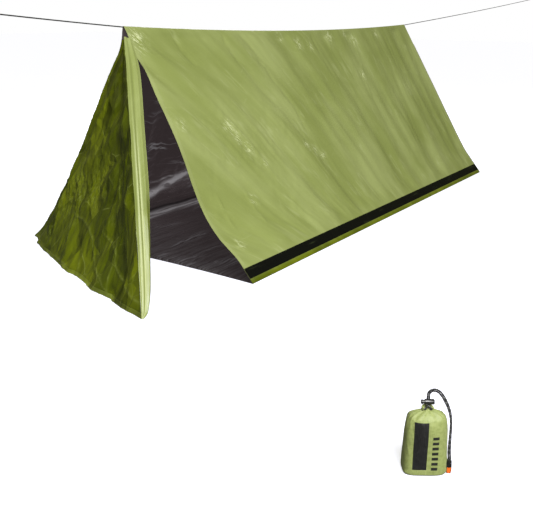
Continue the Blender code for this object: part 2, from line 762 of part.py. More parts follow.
def whistle(shell_mat, insert_mat, parent):
    spot = place("whistle place", parent)
    spot.matrix_local = Matrix(((0, -1, 0, WHISTLE_X), (0, 0, -1, WHISTLE_BACK_Y), (1, 0, 0, 0), (0, 0, 0, 1)))
    half = WHISTLE_WIDTH / 2
    right = [(WHISTLE_LENGTH * along, half * wide) for along, wide in WHISTLE_OUTLINE_SHARES]
    outline = [(x, -y) for x, y in right] + right[::-1]
    shell = plate("whistle_shell", outline, 0, WHISTLE_THICKNESS, shell_mat, spot)
    edges = shell.modifiers.new("moulded edges", "BEVEL")
    edges.width = WHISTLE_EDGE
    edges.segments = 2
    edges.limit_method = "ANGLE"
    inner = half * WHISTLE_OUTLINE_SHARES[0][1] - WHISTLE_SIDE_WALL / 2
    wide = half - WHISTLE_SIDE_WALL
    top = WHISTLE_THICKNESS + CUT_OVERRUN
    window = [
        (-CUT_OVERRUN, -inner),
        (0, -inner),
        (WHISTLE_WINDOW_LENGTH * 0.3, -wide),
        (WHISTLE_WINDOW_LENGTH, -wide),
        (WHISTLE_WINDOW_LENGTH * 0.88, 0),
        (WHISTLE_WINDOW_LENGTH, wide),
        (WHISTLE_WINDOW_LENGTH * 0.3, wide),
        (0, inner),
        (-CUT_OVERRUN, inner),
    ]
    cut(shell, plate("window", window, WHISTLE_BACK_WALL, top, None, spot))
    middle = WHISTLE_THICKNESS / 2
    socket_half = CORD_DIAMETER / 2 + PIECE_GAP
    low = (WHISTLE_LENGTH - WHISTLE_SOCKET_DEPTH, -CORD_PITCH / 2 - socket_half, middle - socket_half)
    high = (WHISTLE_LENGTH + CUT_OVERRUN, CORD_PITCH / 2 + socket_half, middle + socket_half)
    cut(shell, box("cord socket", low, high, None, spot))
    hole = turned(
        "sound hole",
        [(0, 0), (0, SOUND_HOLE_RADIUS), (WHISTLE_WIDTH, SOUND_HOLE_RADIUS), (WHISTLE_WIDTH, 0)],
        12, None, spot,
    )
    hole.location = (WHISTLE_WINDOW_LENGTH * 0.7, 0, middle)
    hole.rotation_euler = (0, 0, -math.pi / 2)
    cut(shell, hole)
    notch = inner / 2
    gap = PIECE_GAP
    blade = [
        (0, -inner + gap),
        (WHISTLE_WINDOW_LENGTH * 0.3, -wide + gap),
        (WHISTLE_WINDOW_LENGTH - 2 * gap, -wide + gap),
        (WHISTLE_WINDOW_LENGTH * 0.88 - 2 * gap, 0),
        (WHISTLE_WINDOW_LENGTH - 2 * gap, wide - gap),
        (WHISTLE_WINDOW_LENGTH * 0.3, wide - gap),
        (0, inner - gap),
        (0, notch),
        (INSERT_NOTCH_LENGTH, notch),
        (INSERT_NOTCH_LENGTH, -notch),
        (0, -notch),
    ]
    plate("whistle_insert", blade, WHISTLE_BACK_WALL + gap, WHISTLE_THICKNESS - gap, insert_mat, spot)


def main():
    clear_scene()
    film = material("olive film", (0.36, 0.40, 0.12), 0.38)
    far_film = material("olive film far", (0.33, 0.37, 0.11), 0.38)
    floor_film = material("olive film floor", (0.28, 0.32, 0.10), 0.42)
    door_film = material("olive film door", (0.22, 0.27, 0.05), 0.36)
    rear_film = material("olive film rear door", (0.24, 0.28, 0.06), 0.36)
    tape = material("black tape", (0.012, 0.012, 0.013), 0.45)
    rope = material("ridge rope", (0.02, 0.02, 0.022), 0.8)
    ripstop = material("olive ripstop", (0.30, 0.35, 0.09), 0.6)
    hem_cloth = material("olive ripstop hem", (0.28, 0.33, 0.09), 0.62)
    packed = material("packed film", (0.30, 0.34, 0.12), 0.5)
    cord = material("black drawcord", (0.015, 0.015, 0.016), 0.8)
    plastic = material("dark grey plastic", (0.03, 0.03, 0.033), 0.25)
    steel = material("spring steel", (0.5, 0.5, 0.5), 0.3, 1.0)
    shell = material("black whistle plastic", (0.015, 0.015, 0.017), 0.3)
    orange = material("orange whistle plastic", (0.9, 0.14, 0.015), 0.35)

    tent_floor(floor_film)
    film_wall("near_wall", -1, film)
    film_wall("far_wall", 1, far_film)
    seam_tape(tape)
    door("front_door", FRONT_DOOR_REST_DEG, 0, door_film)
    door("rear_door", REAR_DOOR_REST_DEG, 180, rear_film)
    rope_inside(rope)
    rope_end("front", -1, FRONT_REACH, 8, rope)
    rope_end("rear", 1, REAR_REACH, 26, rope)

    sack = place("sack place", None, (SACK_X, SACK_Y, 0), SACK_TURN_DEG)
    sack_body(ripstop, sack)
    packed_bundle(packed, sack)
    sack_hem(hem_cloth, sack)
    neck_cord(cord, sack)
    drawcord_strands(cord, sack)
    lock = place("lock place", sack, (0, 0, LOCK_HEIGHT))
    cord_lock(plastic, steel, lock)
    whistle(shell, orange, sack)


main()
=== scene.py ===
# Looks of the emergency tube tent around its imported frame: creased film walls and doors,
# braided cords, the filled stuff sack with its cord lock and whistle, a pale floor and soft light.
import math

import bpy
import numpy as np
from mathutils import Matrix, Vector


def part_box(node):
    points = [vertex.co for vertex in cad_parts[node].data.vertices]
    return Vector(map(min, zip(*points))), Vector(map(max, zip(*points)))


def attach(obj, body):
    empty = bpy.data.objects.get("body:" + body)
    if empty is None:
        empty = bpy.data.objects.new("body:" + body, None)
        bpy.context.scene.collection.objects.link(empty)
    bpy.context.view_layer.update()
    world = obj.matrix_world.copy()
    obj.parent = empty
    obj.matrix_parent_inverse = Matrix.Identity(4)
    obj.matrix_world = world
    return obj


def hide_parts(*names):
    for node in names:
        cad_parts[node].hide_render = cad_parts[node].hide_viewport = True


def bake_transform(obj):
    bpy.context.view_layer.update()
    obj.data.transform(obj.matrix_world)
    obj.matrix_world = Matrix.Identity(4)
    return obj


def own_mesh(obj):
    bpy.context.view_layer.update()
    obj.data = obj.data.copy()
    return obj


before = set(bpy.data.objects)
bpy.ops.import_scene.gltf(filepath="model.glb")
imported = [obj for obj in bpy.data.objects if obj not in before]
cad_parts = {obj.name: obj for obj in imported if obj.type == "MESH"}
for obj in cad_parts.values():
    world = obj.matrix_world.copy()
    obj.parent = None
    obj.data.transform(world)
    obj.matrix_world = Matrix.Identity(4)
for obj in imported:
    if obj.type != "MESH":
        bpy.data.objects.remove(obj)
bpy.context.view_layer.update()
bpy.ops.object.select_all(action="DESELECT")
print("frame loaded")


# Camera, at the photograph's viewing angle
cameraSettings = {
    "place": (-3.2931, -1.9124, 0.8685),
    "yawDegrees": 32.457,        # from +X towards +Y
    "pitchDegrees": -17.306,
    "rollDegrees": 0.566,
    "focalPixels": 772.51,
    "frameWidthPixels": 533,
    "sensorWidth": 36.0,
}


def makeCamera(settings):
    yaw = math.radians(settings["yawDegrees"])
    pitch = math.radians(settings["pitchDegrees"])
    roll = math.radians(settings["rollDegrees"])
    bpy.ops.object.camera_add(location=settings["place"])
    camera = bpy.context.active_object
    camera.name = "tentCamera"
    camera.data.sensor_width = settings["sensorWidth"]
    camera.data.lens = settings["focalPixels"] / settings["frameWidthPixels"] * settings["sensorWidth"]
    turn = Matrix.Rotation(yaw - math.pi / 2, 4, "Z") @ Matrix.Rotation(math.pi / 2 + pitch, 4, "X")
    camera.rotation_euler = (turn @ Matrix.Rotation(roll, 4, "Z")).to_euler()
    bpy.context.scene.camera = camera


makeCamera(cameraSettings)
print("camera placed")


# Small helpers


def smooth(value):
    value = np.clip(value, 0, 1)
    return value * value * (3 - 2 * value)


def mix(a, b, share):
    return a + (b - a) * share


def feed(tree, place, source):
    # Links a socket to an input, or sets the input's own constant.
    if isinstance(source, bpy.types.NodeSocket):
        tree.links.new(source, place)
    else:
        place.default_value = source


def addNode(tree, kind, inputs=None, **settings):
    node = tree.nodes.new(kind)
    for key, value in settings.items():
        setattr(node, key, value)
    for key, source in (inputs or {}).items():
        feed(tree, node.inputs[key], source)
    return node


def mathNode(tree, operation, *sources):
    # Math node fed by numbers or sockets; gives its output socket.
    return addNode(tree, "ShaderNodeMath", dict(enumerate(sources)), operation=operation).outputs[0]


def vectorNode(tree, operation, *sources):
    return addNode(tree, "ShaderNodeVectorMath", dict(enumerate(sources)), operation=operation).outputs[0]


def times(tree, first, second):
    return mathNode(tree, "MULTIPLY", first, second)


def rampNode(tree, source, low, high, lowValue=0.0, highValue=1.0):
    inputs = {"Value": source, "From Min": low, "From Max": high, "To Min": lowValue, "To Max": highValue}
    return addNode(tree, "ShaderNodeMapRange", inputs, interpolation_type="SMOOTHSTEP").outputs["Result"]


def noiseNode(tree, vector, scale, detail=3.0, roughness=0.5):
    inputs = {"Vector": vector, "Scale": scale, "Detail": detail, "Roughness": roughness}
    return addNode(tree, "ShaderNodeTexNoise", inputs)


def noiseShare(tree, vector, scale, detail, low, high, lowValue=0.0, highValue=1.0):
    noise = noiseNode(tree, vector, scale, detail=detail)
    return rampNode(tree, noise.outputs["Fac"], low, high, lowValue, highValue)


def mapNode(tree, vector, scale=(1, 1, 1), turn=(0, 0, 0)):
    inputs = {"Vector": vector, "Scale": scale, "Rotation": turn}
    return addNode(tree, "ShaderNodeMapping", inputs).outputs["Vector"]


def colourMix(tree, factor, first, second):
    # Mix of two colours; each is a colour or a socket.
    node = addNode(tree, "ShaderNodeMix", {"Factor": factor}, data_type="RGBA")
    for name, source in (("A", first), ("B", second)):
        place = next(s for s in node.inputs if s.name == name and s.type == "RGBA")
        feed(tree, place, (*source, 1.0) if isinstance(source, tuple) else source)
    return next(s for s in node.outputs if s.type == "RGBA")


def newGroup(name, build, **numbers):
    # Node group with a vector and numbers as inputs; build makes its nodes and gives its results.
    group = bpy.data.node_groups.new(name, "ShaderNodeTree")
    group.interface.new_socket(name="Vector", in_out="INPUT", socket_type="NodeSocketVector")
    for title, value in numbers.items():
        socket = group.interface.new_socket(name=title, in_out="INPUT", socket_type="NodeSocketFloat")
        socket.default_value = value
    results = build(group, group.nodes.new("NodeGroupInput").outputs)
    for title in results:
        group.interface.new_socket(name=title, in_out="OUTPUT", socket_type="NodeSocketFloat")
    addNode(group, "NodeGroupOutput", results)
    return group


def useGroup(tree, group, vector, **numbers):
    return addNode(tree, "ShaderNodeGroup", {"Vector": vector, **numbers}, node_tree=group)


def newMaterial(name, roughness, metallic=0.0, specular=0.5, coat=0.0, coatRoughness=0.1, sheen=0.0):
    material = bpy.data.materials.new(name)
    material.use_nodes = True
    shader = material.node_tree.nodes["Principled BSDF"]
    for title, value in (
        ("Roughness", roughness),
        ("Metallic", metallic),
        ("Specular IOR Level", specular),
        ("Coat Weight", coat),
        ("Coat Roughness", coatRoughness),
        ("Sheen Weight", sheen),
    ):
        shader.inputs[title].default_value = value
    return material, material.node_tree, shader


def dress(tree, shader, colour, rough):
    tree.links.new(colour, shader.inputs["Base Color"])
    tree.links.new(rough, shader.inputs["Roughness"])


def addBump(tree, shader, height, distance, strength=1.0, under=None):
    inputs = {"Distance": distance, "Strength": strength, "Height": height}
    if under is not None:
        inputs["Normal"] = under
    bump = addNode(tree, "ShaderNodeBump", inputs).outputs["Normal"]
    tree.links.new(bump, shader.inputs["Normal"])
    return bump


def objectPlace(tree):
    return addNode(tree, "ShaderNodeTexCoord").outputs["Object"]


def flatPlace(tree):
    return addNode(tree, "ShaderNodeUVMap", uv_map="UVMap").outputs["UV"]


def pieceDone(piece, body, slotName, *nodes):
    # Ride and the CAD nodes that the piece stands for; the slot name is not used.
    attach(piece, body)
    if nodes:
        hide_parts(*nodes)


# Shared effects


def filmFoldsIn(tree, given):
    # Creased film on a map whose X runs across the folds and Y along them, in metres.
    drift = noiseNode(tree, given["Vector"], 2.1, detail=4.0)
    bent = vectorNode(tree, "MULTIPLY_ADD", drift.outputs["Color"], (0.05, 0.05, 0.05), given["Vector"])
    stretch = addNode(tree, "ShaderNodeCombineXYZ", {"X": given["Pitch"], "Y": given["Run"]})
    drawn = vectorNode(tree, "MULTIPLY", bent, stretch.outputs[0])
    folds = noiseNode(tree, drawn, 1.0, detail=3.5, roughness=0.55).outputs["Fac"]
    away = mathNode(tree, "ABSOLUTE", mathNode(tree, "SUBTRACT", folds, 0.5))
    sharp = rampNode(tree, away, 0.0, 0.035, 1.0, 0.0)
    broken = noiseShare(tree, given["Vector"], 7.0, 2.0, 0.5, 0.62)
    ridges = {"Vector": bent, "Scale": 34.0, "Detail": 3.0}
    crush = addNode(tree, "ShaderNodeTexNoise", ridges, noise_type="RIDGED_MULTIFRACTAL")
    return {
        "Height": folds,
        "Lines": times(tree, sharp, broken),
        "Sharp": sharp,
        "Drift": drift.outputs["Fac"],
        "Crush": crush.outputs["Fac"],
    }


def creaseNetIn(tree, given):
    # Creases that meet at corners, with a facet between them.
    drift = noiseNode(tree, given["Vector"], 4.0, detail=1.0)
    bent = vectorNode(tree, "MULTIPLY_ADD", drift.outputs["Color"], (0.025, 0.025, 0.0), given["Vector"])
    inputs = {"Vector": bent, "Scale": given["Scale"]}
    edges, cells = (
        addNode(tree, "ShaderNodeTexVoronoi", inputs, voronoi_dimensions="2D", feature=feature)
        for feature in ("DISTANCE_TO_EDGE", "F1")
    )
    sharp = rampNode(tree, edges.outputs["Distance"], 0.0, 0.020, 1.0, 0.0)
    broken = noiseShare(tree, given["Vector"], 8.0, 2.0, 0.50, 0.60)
    split = addNode(tree, "ShaderNodeSeparateColor", {"Color": cells.outputs["Color"]})
    # each facet is a low roof, raised or sunken by its own share, and level along its borders
    rise = mathNode(tree, "SUBTRACT", split.outputs["Green"], 0.5)
    return {
        "Lines": times(tree, sharp, broken),
        "Facet": split.outputs["Red"],
        "Height": times(tree, rise, edges.outputs["Distance"]),
    }


def braidIn(tree, given):
    # Round braid on a cord's own map: across is once round, up is turns of a carrier.
    split = addNode(tree, "ShaderNodeSeparateXYZ", {0: given["Vector"]})
    crowns, cells = [], []
    for direction in ("ADD", "SUBTRACT"):
        side = mathNode(tree, direction, split.outputs["X"], split.outputs["Y"])
        run = times(tree, side, given["Carriers"])
        cells.append(mathNode(tree, "FLOOR", run))
        inner = mathNode(tree, "SUBTRACT", mathNode(tree, "FRACT", run), 0.5)
        crowns.append(mathNode(tree, "COSINE", times(tree, inner, math.pi)))
    sums = mathNode(tree, "ADD", *cells)
    over = mathNode(tree, "GREATER_THAN", mathNode(tree, "FLOORED_MODULO", sums, 2.0), 0.5)
    narrow = [mathNode(tree, "MULTIPLY_ADD", crown, 0.45, 0.55) for crown in crowns]
    crossing, lying = times(tree, crowns[1], narrow[0]), times(tree, crowns[0], narrow[1])
    inputs = {"Factor": over, "A": crossing, "B": lying}
    height = addNode(tree, "ShaderNodeMix", inputs, data_type="FLOAT").outputs["Result"]
    turn = mathNode(tree, "FLOORED_MODULO", cells[0], 8.0)
    tracer = times(tree, mathNode(tree, "LESS_THAN", turn, 1.5), over)
    beside = mathNode(tree, "FLOORED_MODULO", cells[1], 4.0)
    paired = times(tree, tracer, mathNode(tree, "LESS_THAN", beside, 1.5))
    hairs = noiseNode(tree, mapNode(tree, given["Vector"], scale=(60, 14, 1)), 3.0, detail=4.0)
    return {
        "Height": height,
        "Fleck": times(tree, paired, rampNode(tree, height, 0.3, 0.6)),
        "Fibre": hairs.outputs["Fac"],
    }


def weaveIn(tree, given):
    # Ripstop: a fine plain weave crossed by thicker threads, on a map in squares of the ripstop.
    split = addNode(tree, "ShaderNodeSeparateXYZ", {0: given["Vector"]})
    thick, fine = [], []
    for name in ("X", "Y"):
        away = mathNode(tree, "PINGPONG", split.outputs[name], 0.5)
        thick.append(rampNode(tree, away, 0.03, 0.075, 1.0, 0.0))
        run = times(tree, split.outputs[name], given["Threads"])
        fine.append(mathNode(tree, "SINE", times(tree, run, 2 * math.pi)))
    grid = mathNode(tree, "MAXIMUM", *thick)
    return {
        "Height": mathNode(tree, "MULTIPLY_ADD", times(tree, *fine), 0.18, grid),
        "Grid": grid,
        "Drift": noiseNode(tree, given["Vector"], 0.35, detail=5.0).outputs["Fac"],
    }


def mouldGrainIn(tree, given):
    # Moulded plastic: faint orange peel, fine scuffs and a slow change of tone.
    inputs = {0: given["Vector"], "Scale": given["Scale"]}
    scaled = addNode(tree, "ShaderNodeVectorMath", inputs, operation="SCALE").outputs[0]
    drawn = mapNode(tree, scaled, scale=(0.05, 1.4, 0.3), turn=(0.4, 0.2, 0.7))
    return {
        "Height": noiseNode(tree, scaled, 1.0, detail=2.0).outputs["Fac"],
        "Scuff": noiseShare(tree, drawn, 1.0, 3.0, 0.62, 0.7),
        "Drift": noiseNode(tree, scaled, 0.12, detail=2.0).outputs["Fac"],
    }


filmFolds = newGroup("filmFolds", filmFoldsIn, Pitch=45.0, Run=5.0)
creaseNet = newGroup("creaseNet", creaseNetIn, Scale=12.0)
braid = newGroup("braid", braidIn, Carriers=8.0)
ripstopWeave = newGroup("ripstopWeave", weaveIn, Threads=12.0)
mouldGrain = newGroup("mouldGrain", mouldGrainIn, Scale=900.0)
print("shared effects made")


# Finishes of the film


filmColours = {
    "lit": (0.350, 0.400, 0.150),
    # colour of lighter crease lines and hems, and of painted glints and painted sheen
    "wornAndGlint": (0.80, 0.85, 0.52),
    "deep": (0.268, 0.315, 0.094),
    # a painted-shade copy of the film's colours, darker and more saturated, for faces meant to look shaded
    "paintedShadeLit": (0.180, 0.218, 0.006),
    "paintedShadeDeep": (0.086, 0.112, 0.002),
    "paintedShadeWornAndGlint": (0.36, 0.42, 0.11),
    "metal": (0.235, 0.192, 0.198),
    # lighter metal along the creases and in the band, as painted highlights
    "metalCreaseGlint": (0.85, 0.83, 0.86),
    "metalBandSheen": (0.68, 0.67, 0.69),
    # painted glow: emission that stands in for the light that the mirror-like inside passes on from face to
    # face
    "paintedGlow": (0.066, 0.052, 0.054),
    "paintedGlowBand": (0.54, 0.52, 0.54),
    "paintedGlowCrease": (0.95, 0.95, 1.0),
}
hemBand = {"width": 0.020, "weld": 0.0022}


def attributeNode(tree, name):
    node = addNode(tree, "ShaderNodeAttribute", attribute_type="GEOMETRY", attribute_name=name)
    return node.outputs["Fac"]


def makeOuterFilm():
    material, tree, shader = newMaterial("oliveFilm", 0.38, specular=0.35, coat=0.08, coatRoughness=0.22)
    folds = useGroup(tree, filmFolds, flatPlace(tree), Pitch=11.0, Run=2.4)
    small = useGroup(tree, filmFolds, flatPlace(tree), Pitch=70.0, Run=16.0)
    pale, crush, hem = (attributeNode(tree, name) for name in ("pale", "crush", "hem"))
    rub, net = (attributeNode(tree, name) for name in ("rub", "net"))
    # the doors are crumpled into flat facets, the walls hardly
    turned = mapNode(tree, flatPlace(tree), turn=(0, 0, math.radians(28)), scale=(1.3, 0.9, 1))
    wide = useGroup(tree, creaseNet, turned, Scale=6.5)
    fine = useGroup(tree, creaseNet, mapNode(tree, turned, turn=(0, 0, 1.1)), Scale=17.0)
    # the tone is a random drift with painted shade: each crumpled facet a little lighter or darker, and the
    # film darker where its folds sink
    facet = times(tree, mathNode(tree, "SUBTRACT", wide.outputs["Facet"], 0.5), net)
    slow = times(tree, folds.outputs["Height"], 0.25)
    slow = mathNode(tree, "MULTIPLY_ADD", folds.outputs["Drift"], 0.75, slow)
    share = rampNode(tree, mathNode(tree, "MULTIPLY_ADD", facet, 0.20, slow), 0.39, 0.61)
    # the film's own colours, or their painted-shade copy where the unshaded share is low
    shaded = colourMix(tree, share, filmColours["paintedShadeDeep"], filmColours["paintedShadeLit"])
    tone = colourMix(tree, pale, shaded, colourMix(tree, share, filmColours["deep"], filmColours["lit"]))
    wornAndGlintTone = colourMix(tree, pale, filmColours["paintedShadeWornAndGlint"], filmColours["wornAndGlint"])
    # the lighter colour goes on faint fold lines and the hem band, and as painted glints, painted
    # highlights along the doors' creases and painted sheen on the flap
    plain = times(tree, folds.outputs["Lines"], 0.10)
    # painted glints in the crushed patches
    glints = times(tree, small.outputs["Sharp"], crush)
    netted = mathNode(tree, "MAXIMUM", wide.outputs["Lines"], times(tree, fine.outputs["Lines"], 0.6))
    netted = times(tree, times(tree, netted, net), 0.60)
    band = rampNode(tree, hem, hemBand["width"] - 0.001, hemBand["width"], 1.0, 0.0)
    band = times(tree, band, mathNode(tree, "MULTIPLY_ADD", net, 0.20, 0.05))
    for source in (band, glints, netted, rub):
        plain = mathNode(tree, "MAXIMUM", plain, source)
    place = objectPlace(tree)
    rough = noiseShare(tree, place, 9.0, 5.0, 0.3, 0.7, 0.30, 0.46)
    dress(tree, shader, colourMix(tree, plain, tone, wornAndGlintTone), rough)
    weld = mathNode(tree, "ABSOLUTE", mathNode(tree, "SUBTRACT", hem, hemBand["width"]))
    pores = noiseNode(tree, place, 300.0, detail=2.0)
    under = addBump(tree, shader, pores.outputs["Fac"], 0.0003, 0.3)
    welded = rampNode(tree, weld, 0.0, hemBand["weld"])
    under = addBump(tree, shader, welded, 0.0008, 0.8, under)
    tilted = mathNode(tree, "MULTIPLY_ADD", fine.outputs["Height"], 0.36, wide.outputs["Height"])
    under = addBump(tree, shader, times(tree, tilted, net), 0.085, 0.9, under)
    crumpled = times(tree, folds.outputs["Crush"], mathNode(tree, "MULTIPLY_ADD", crush, 0.8, 0.2))
    under = addBump(tree, shader, crumpled, 0.0010, 0.4, under)
    drawn = times(tree, folds.outputs["Height"], mathNode(tree, "MULTIPLY_ADD", net, 0.5, 0.5))
    addBump(tree, shader, drawn, 0.012, 0.30, under)
    return material


def makeInnerFilm():
    material, tree, shader = newMaterial("metallisedFilm", 0.34, metallic=0.85, specular=0.5)
    place = mapNode(tree, objectPlace(tree), scale=(0.30, 1.0, 1.6))
    turned = mapNode(tree, place, turn=(0, 0, math.pi / 2))
    folds = useGroup(tree, filmFolds, turned, Pitch=60.0, Run=9.0)
    band, seam = attributeNode(tree, "crush"), attributeNode(tree, "seam")
    # the band, the lit strip and the crease lines are brightened as painted highlights, in the base colour
    # and in the painted glow
    streaks = rampNode(tree, folds.outputs["Height"], 0.42, 0.58, 0.30, 1.0)
    banded = times(tree, band, streaks)
    ridges = times(tree, rampNode(tree, folds.outputs["Crush"], 0.95, 1.3), band)
    thin = times(tree, folds.outputs["Lines"], mathNode(tree, "MULTIPLY_ADD", band, 0.74, 0.26))
    thin = mathNode(tree, "MAXIMUM", thin, ridges)
    for socket, plain, banding, crease in (
        ("Base Color", "metal", "metalBandSheen", "metalCreaseGlint"),
        ("Emission Color", "paintedGlow", "paintedGlowBand", "paintedGlowCrease"),
    ):
        greyed = colourMix(tree, banded, filmColours[plain], filmColours[banding])
        creased = colourMix(tree, thin, greyed, filmColours[crease])
        # painted shade: the floor's inside is darkened along the far wall's foot and towards the mouth
        tree.links.new(colourMix(tree, seam, creased, (0.012, 0.009, 0.010)), shader.inputs[socket])
    # the whole inside glows a little, a painted glow though it is no lamp
    shader.inputs["Emission Strength"].default_value = 0.33
    rough = rampNode(tree, folds.outputs["Drift"], 0.3, 0.7, 0.26, 0.42)
    tree.links.new(rough, shader.inputs["Roughness"])
    under = addBump(tree, shader, folds.outputs["Crush"], 0.0014, 0.7)
    addBump(tree, shader, folds.outputs["Height"], 0.010, 0.7, under)
    return material


outerFilm = makeOuterFilm()
innerFilm = makeInnerFilm()


# Black tape, metres: its foot above the wall's foot, its width and how it lies on the film
tapeSettings = {
    "margin": 0.018,
    "width": 0.040,
    "thickness": 0.0005,
    "lift": 0.0010,
    "lump": 0.0012,
    "columns": 420,
    "rows": 6,
    "colour": (0.003, 0.0035, 0.003),
    "sheenAndRubColour": (0.040, 0.050, 0.022),
}


def makeTapeFinish():
    material, tree, shader = newMaterial("blackTape", 0.55, specular=0.1)
    place = objectPlace(tree)
    threads = noiseNode(tree, mapNode(tree, place, scale=(30, 1400, 1400)), 1.0, detail=2.0)
    # lighter rubbed patches on the tape, partly wear and partly painted sheen
    rub = noiseShare(tree, mapNode(tree, place, scale=(6, 60, 60)), 1.0, 5.0, 0.58, 0.8)
    wornAndGlint = colourMix(tree, rub, tapeSettings["colour"], tapeSettings["sheenAndRubColour"])
    dress(tree, shader, wornAndGlint, rampNode(tree, threads.outputs["Fac"], 0.3, 0.7, 0.45, 0.65))
    addBump(tree, shader, threads.outputs["Fac"], 0.0006, 0.5)
    return material


tapeFinish = makeTapeFinish()


def makeCordFinish(name, base, carriers, fleckShare):
    material, tree, shader = newMaterial(name, 0.62, specular=0.35, sheen=0.15)
    pattern = useGroup(tree, braid, flatPlace(tree), Carriers=float(carriers))
    shade = rampNode(tree, pattern.outputs["Height"], 0.1, 0.9, 0.25, 1.0)
    dark = tuple(part * 0.3 for part in base)
    fibres = colourMix(tree, shade, dark, base)
    fleck = times(tree, pattern.outputs["Fleck"], fleckShare)
    rough = rampNode(tree, pattern.outputs["Fibre"], 0.3, 0.7, 0.5, 0.75)
    dress(tree, shader, colourMix(tree, fleck, fibres, (0.78, 0.79, 0.8)), rough)
    under = addBump(tree, shader, pattern.outputs["Fibre"], 0.0001, 0.5)
    addBump(tree, shader, pattern.outputs["Height"], 0.0004, 0.6, under)
    return material


# Cords: the taut ridge line with its loops and wound knots, and the sack's drawcord
ridgeLine = {
    "diameter": 0.004,
    "slope": 0.075,
    "frontReach": 0.66,
    "rearReach": 2.95,
    "ownSag": 0.006,
    "loopLength": 0.062,
    "loopSpread": 0.024,
    "loopTail": 0.046,
    "wrapTurns": 4,
    "wrapClearance": 0.001,
    "turnGap": 0.0006,
    "wrapInset": 0.004,
    "pieceGap": 0.0003,
    "carriers": 6,
    "carrierTurn": 0.014,
    "relief": 0.00022,
    "knotStep": 0.0009,        # steps of the meshes along the cord
    "frontStep": 0.0009,
    "rearStep": 0.0012,
    "insideStep": 0.002,
    "sides": 16,
    "insideSides": 12,
    "colour": (0.022, 0.022, 0.024),
}

tent = {
    "ridge": 0.835,
    "ridgeSag": 0.024,
    "solidFilm": 0.001,        # film thickness of the solids
    "film": 0.0004,            # film thickness shown
    "pieceGap": 0.0003,
    "tensionFold": 0.009,      # folds that fan out from the mouth's ridge
    "tensionFade": 0.9,
    "tensionCount": 7,
    "rearFold": 0.008,         # upright folds at the rear end
    "rearFoldPitch": 0.13,
    "rearFoldReach": 0.6,
    "flatFoot": 0.08,          # height up to which the walls have no such folds
    "foldRise": 0.12,
    "foldExtra": 0.006,        # a wall's film in the ridge fold, past its slant
    "sharpDegrees": 34.0,
}
floorLow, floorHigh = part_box("tent_floor")
tentLength = floorHigh.x - floorLow.x
halfWidth = (floorHigh.y - floorLow.y) / 2
foldRadius = ridgeLine["diameter"] / 2 + tent["pieceGap"] + tent["solidFilm"]
footHeight = 2 * tent["solidFilm"] + tent["pieceGap"]


def ridgeAt(u):
    return tent["ridge"] - tent["ridgeSag"] * (1 - (2 * u - 1) ** 2)


def evenPoints(points, step):
    # Points a step apart along a line through the given ones.
    points = np.asarray(points, float)
    lengths = np.concatenate([[0], np.cumsum(np.linalg.norm(np.diff(points, axis=0), axis=1))])
    count = max(2, int(round(lengths[-1] / step)) + 1)
    goals = np.linspace(0, lengths[-1], count)
    even = np.stack([np.interp(goals, lengths, points[:, axis]) for axis in range(3)], axis=1)
    return even, lengths[-1]


def throughPoints(route, pieces=16):
    # A smooth curve through a route's own points.
    spots = np.asarray(route, float)
    spots = np.vstack([2 * spots[0] - spots[1], spots, 2 * spots[-1] - spots[-2]])
    fine = []
    for before, a, b, after in zip(spots, spots[1:], spots[2:], spots[3:]):
        for k in range(pieces):
            t = k / pieces
            bend = (2 * before - 5 * a + 4 * b - after) * t**2 + (3 * a - before - 3 * b + after) * t**3
            fine.append(0.5 * (2 * a + (b - before) * t + bend))
    fine.append(spots[-2])
    return np.array(fine)


def braidRadii(radius, relief, carriers, carrierTurn):
    # Radius of a braided cord at a distance along it and an angle round it.
    def at(run, share):
        first = carriers * (share + run / carrierTurn)
        second = carriers * (share - run / carrierTurn)
        crowns = [np.cos(np.pi * (side - np.floor(side) - 0.5)) for side in (first, second)]
        over = (np.floor(first) + np.floor(second)) % 2 > 0.5
        lying = crowns[0] * (0.55 + 0.45 * crowns[1])
        crossing = crowns[1] * (0.55 + 0.45 * crowns[0])
        return radius + relief * (np.where(over, lying, crossing) - 0.6)
    return at


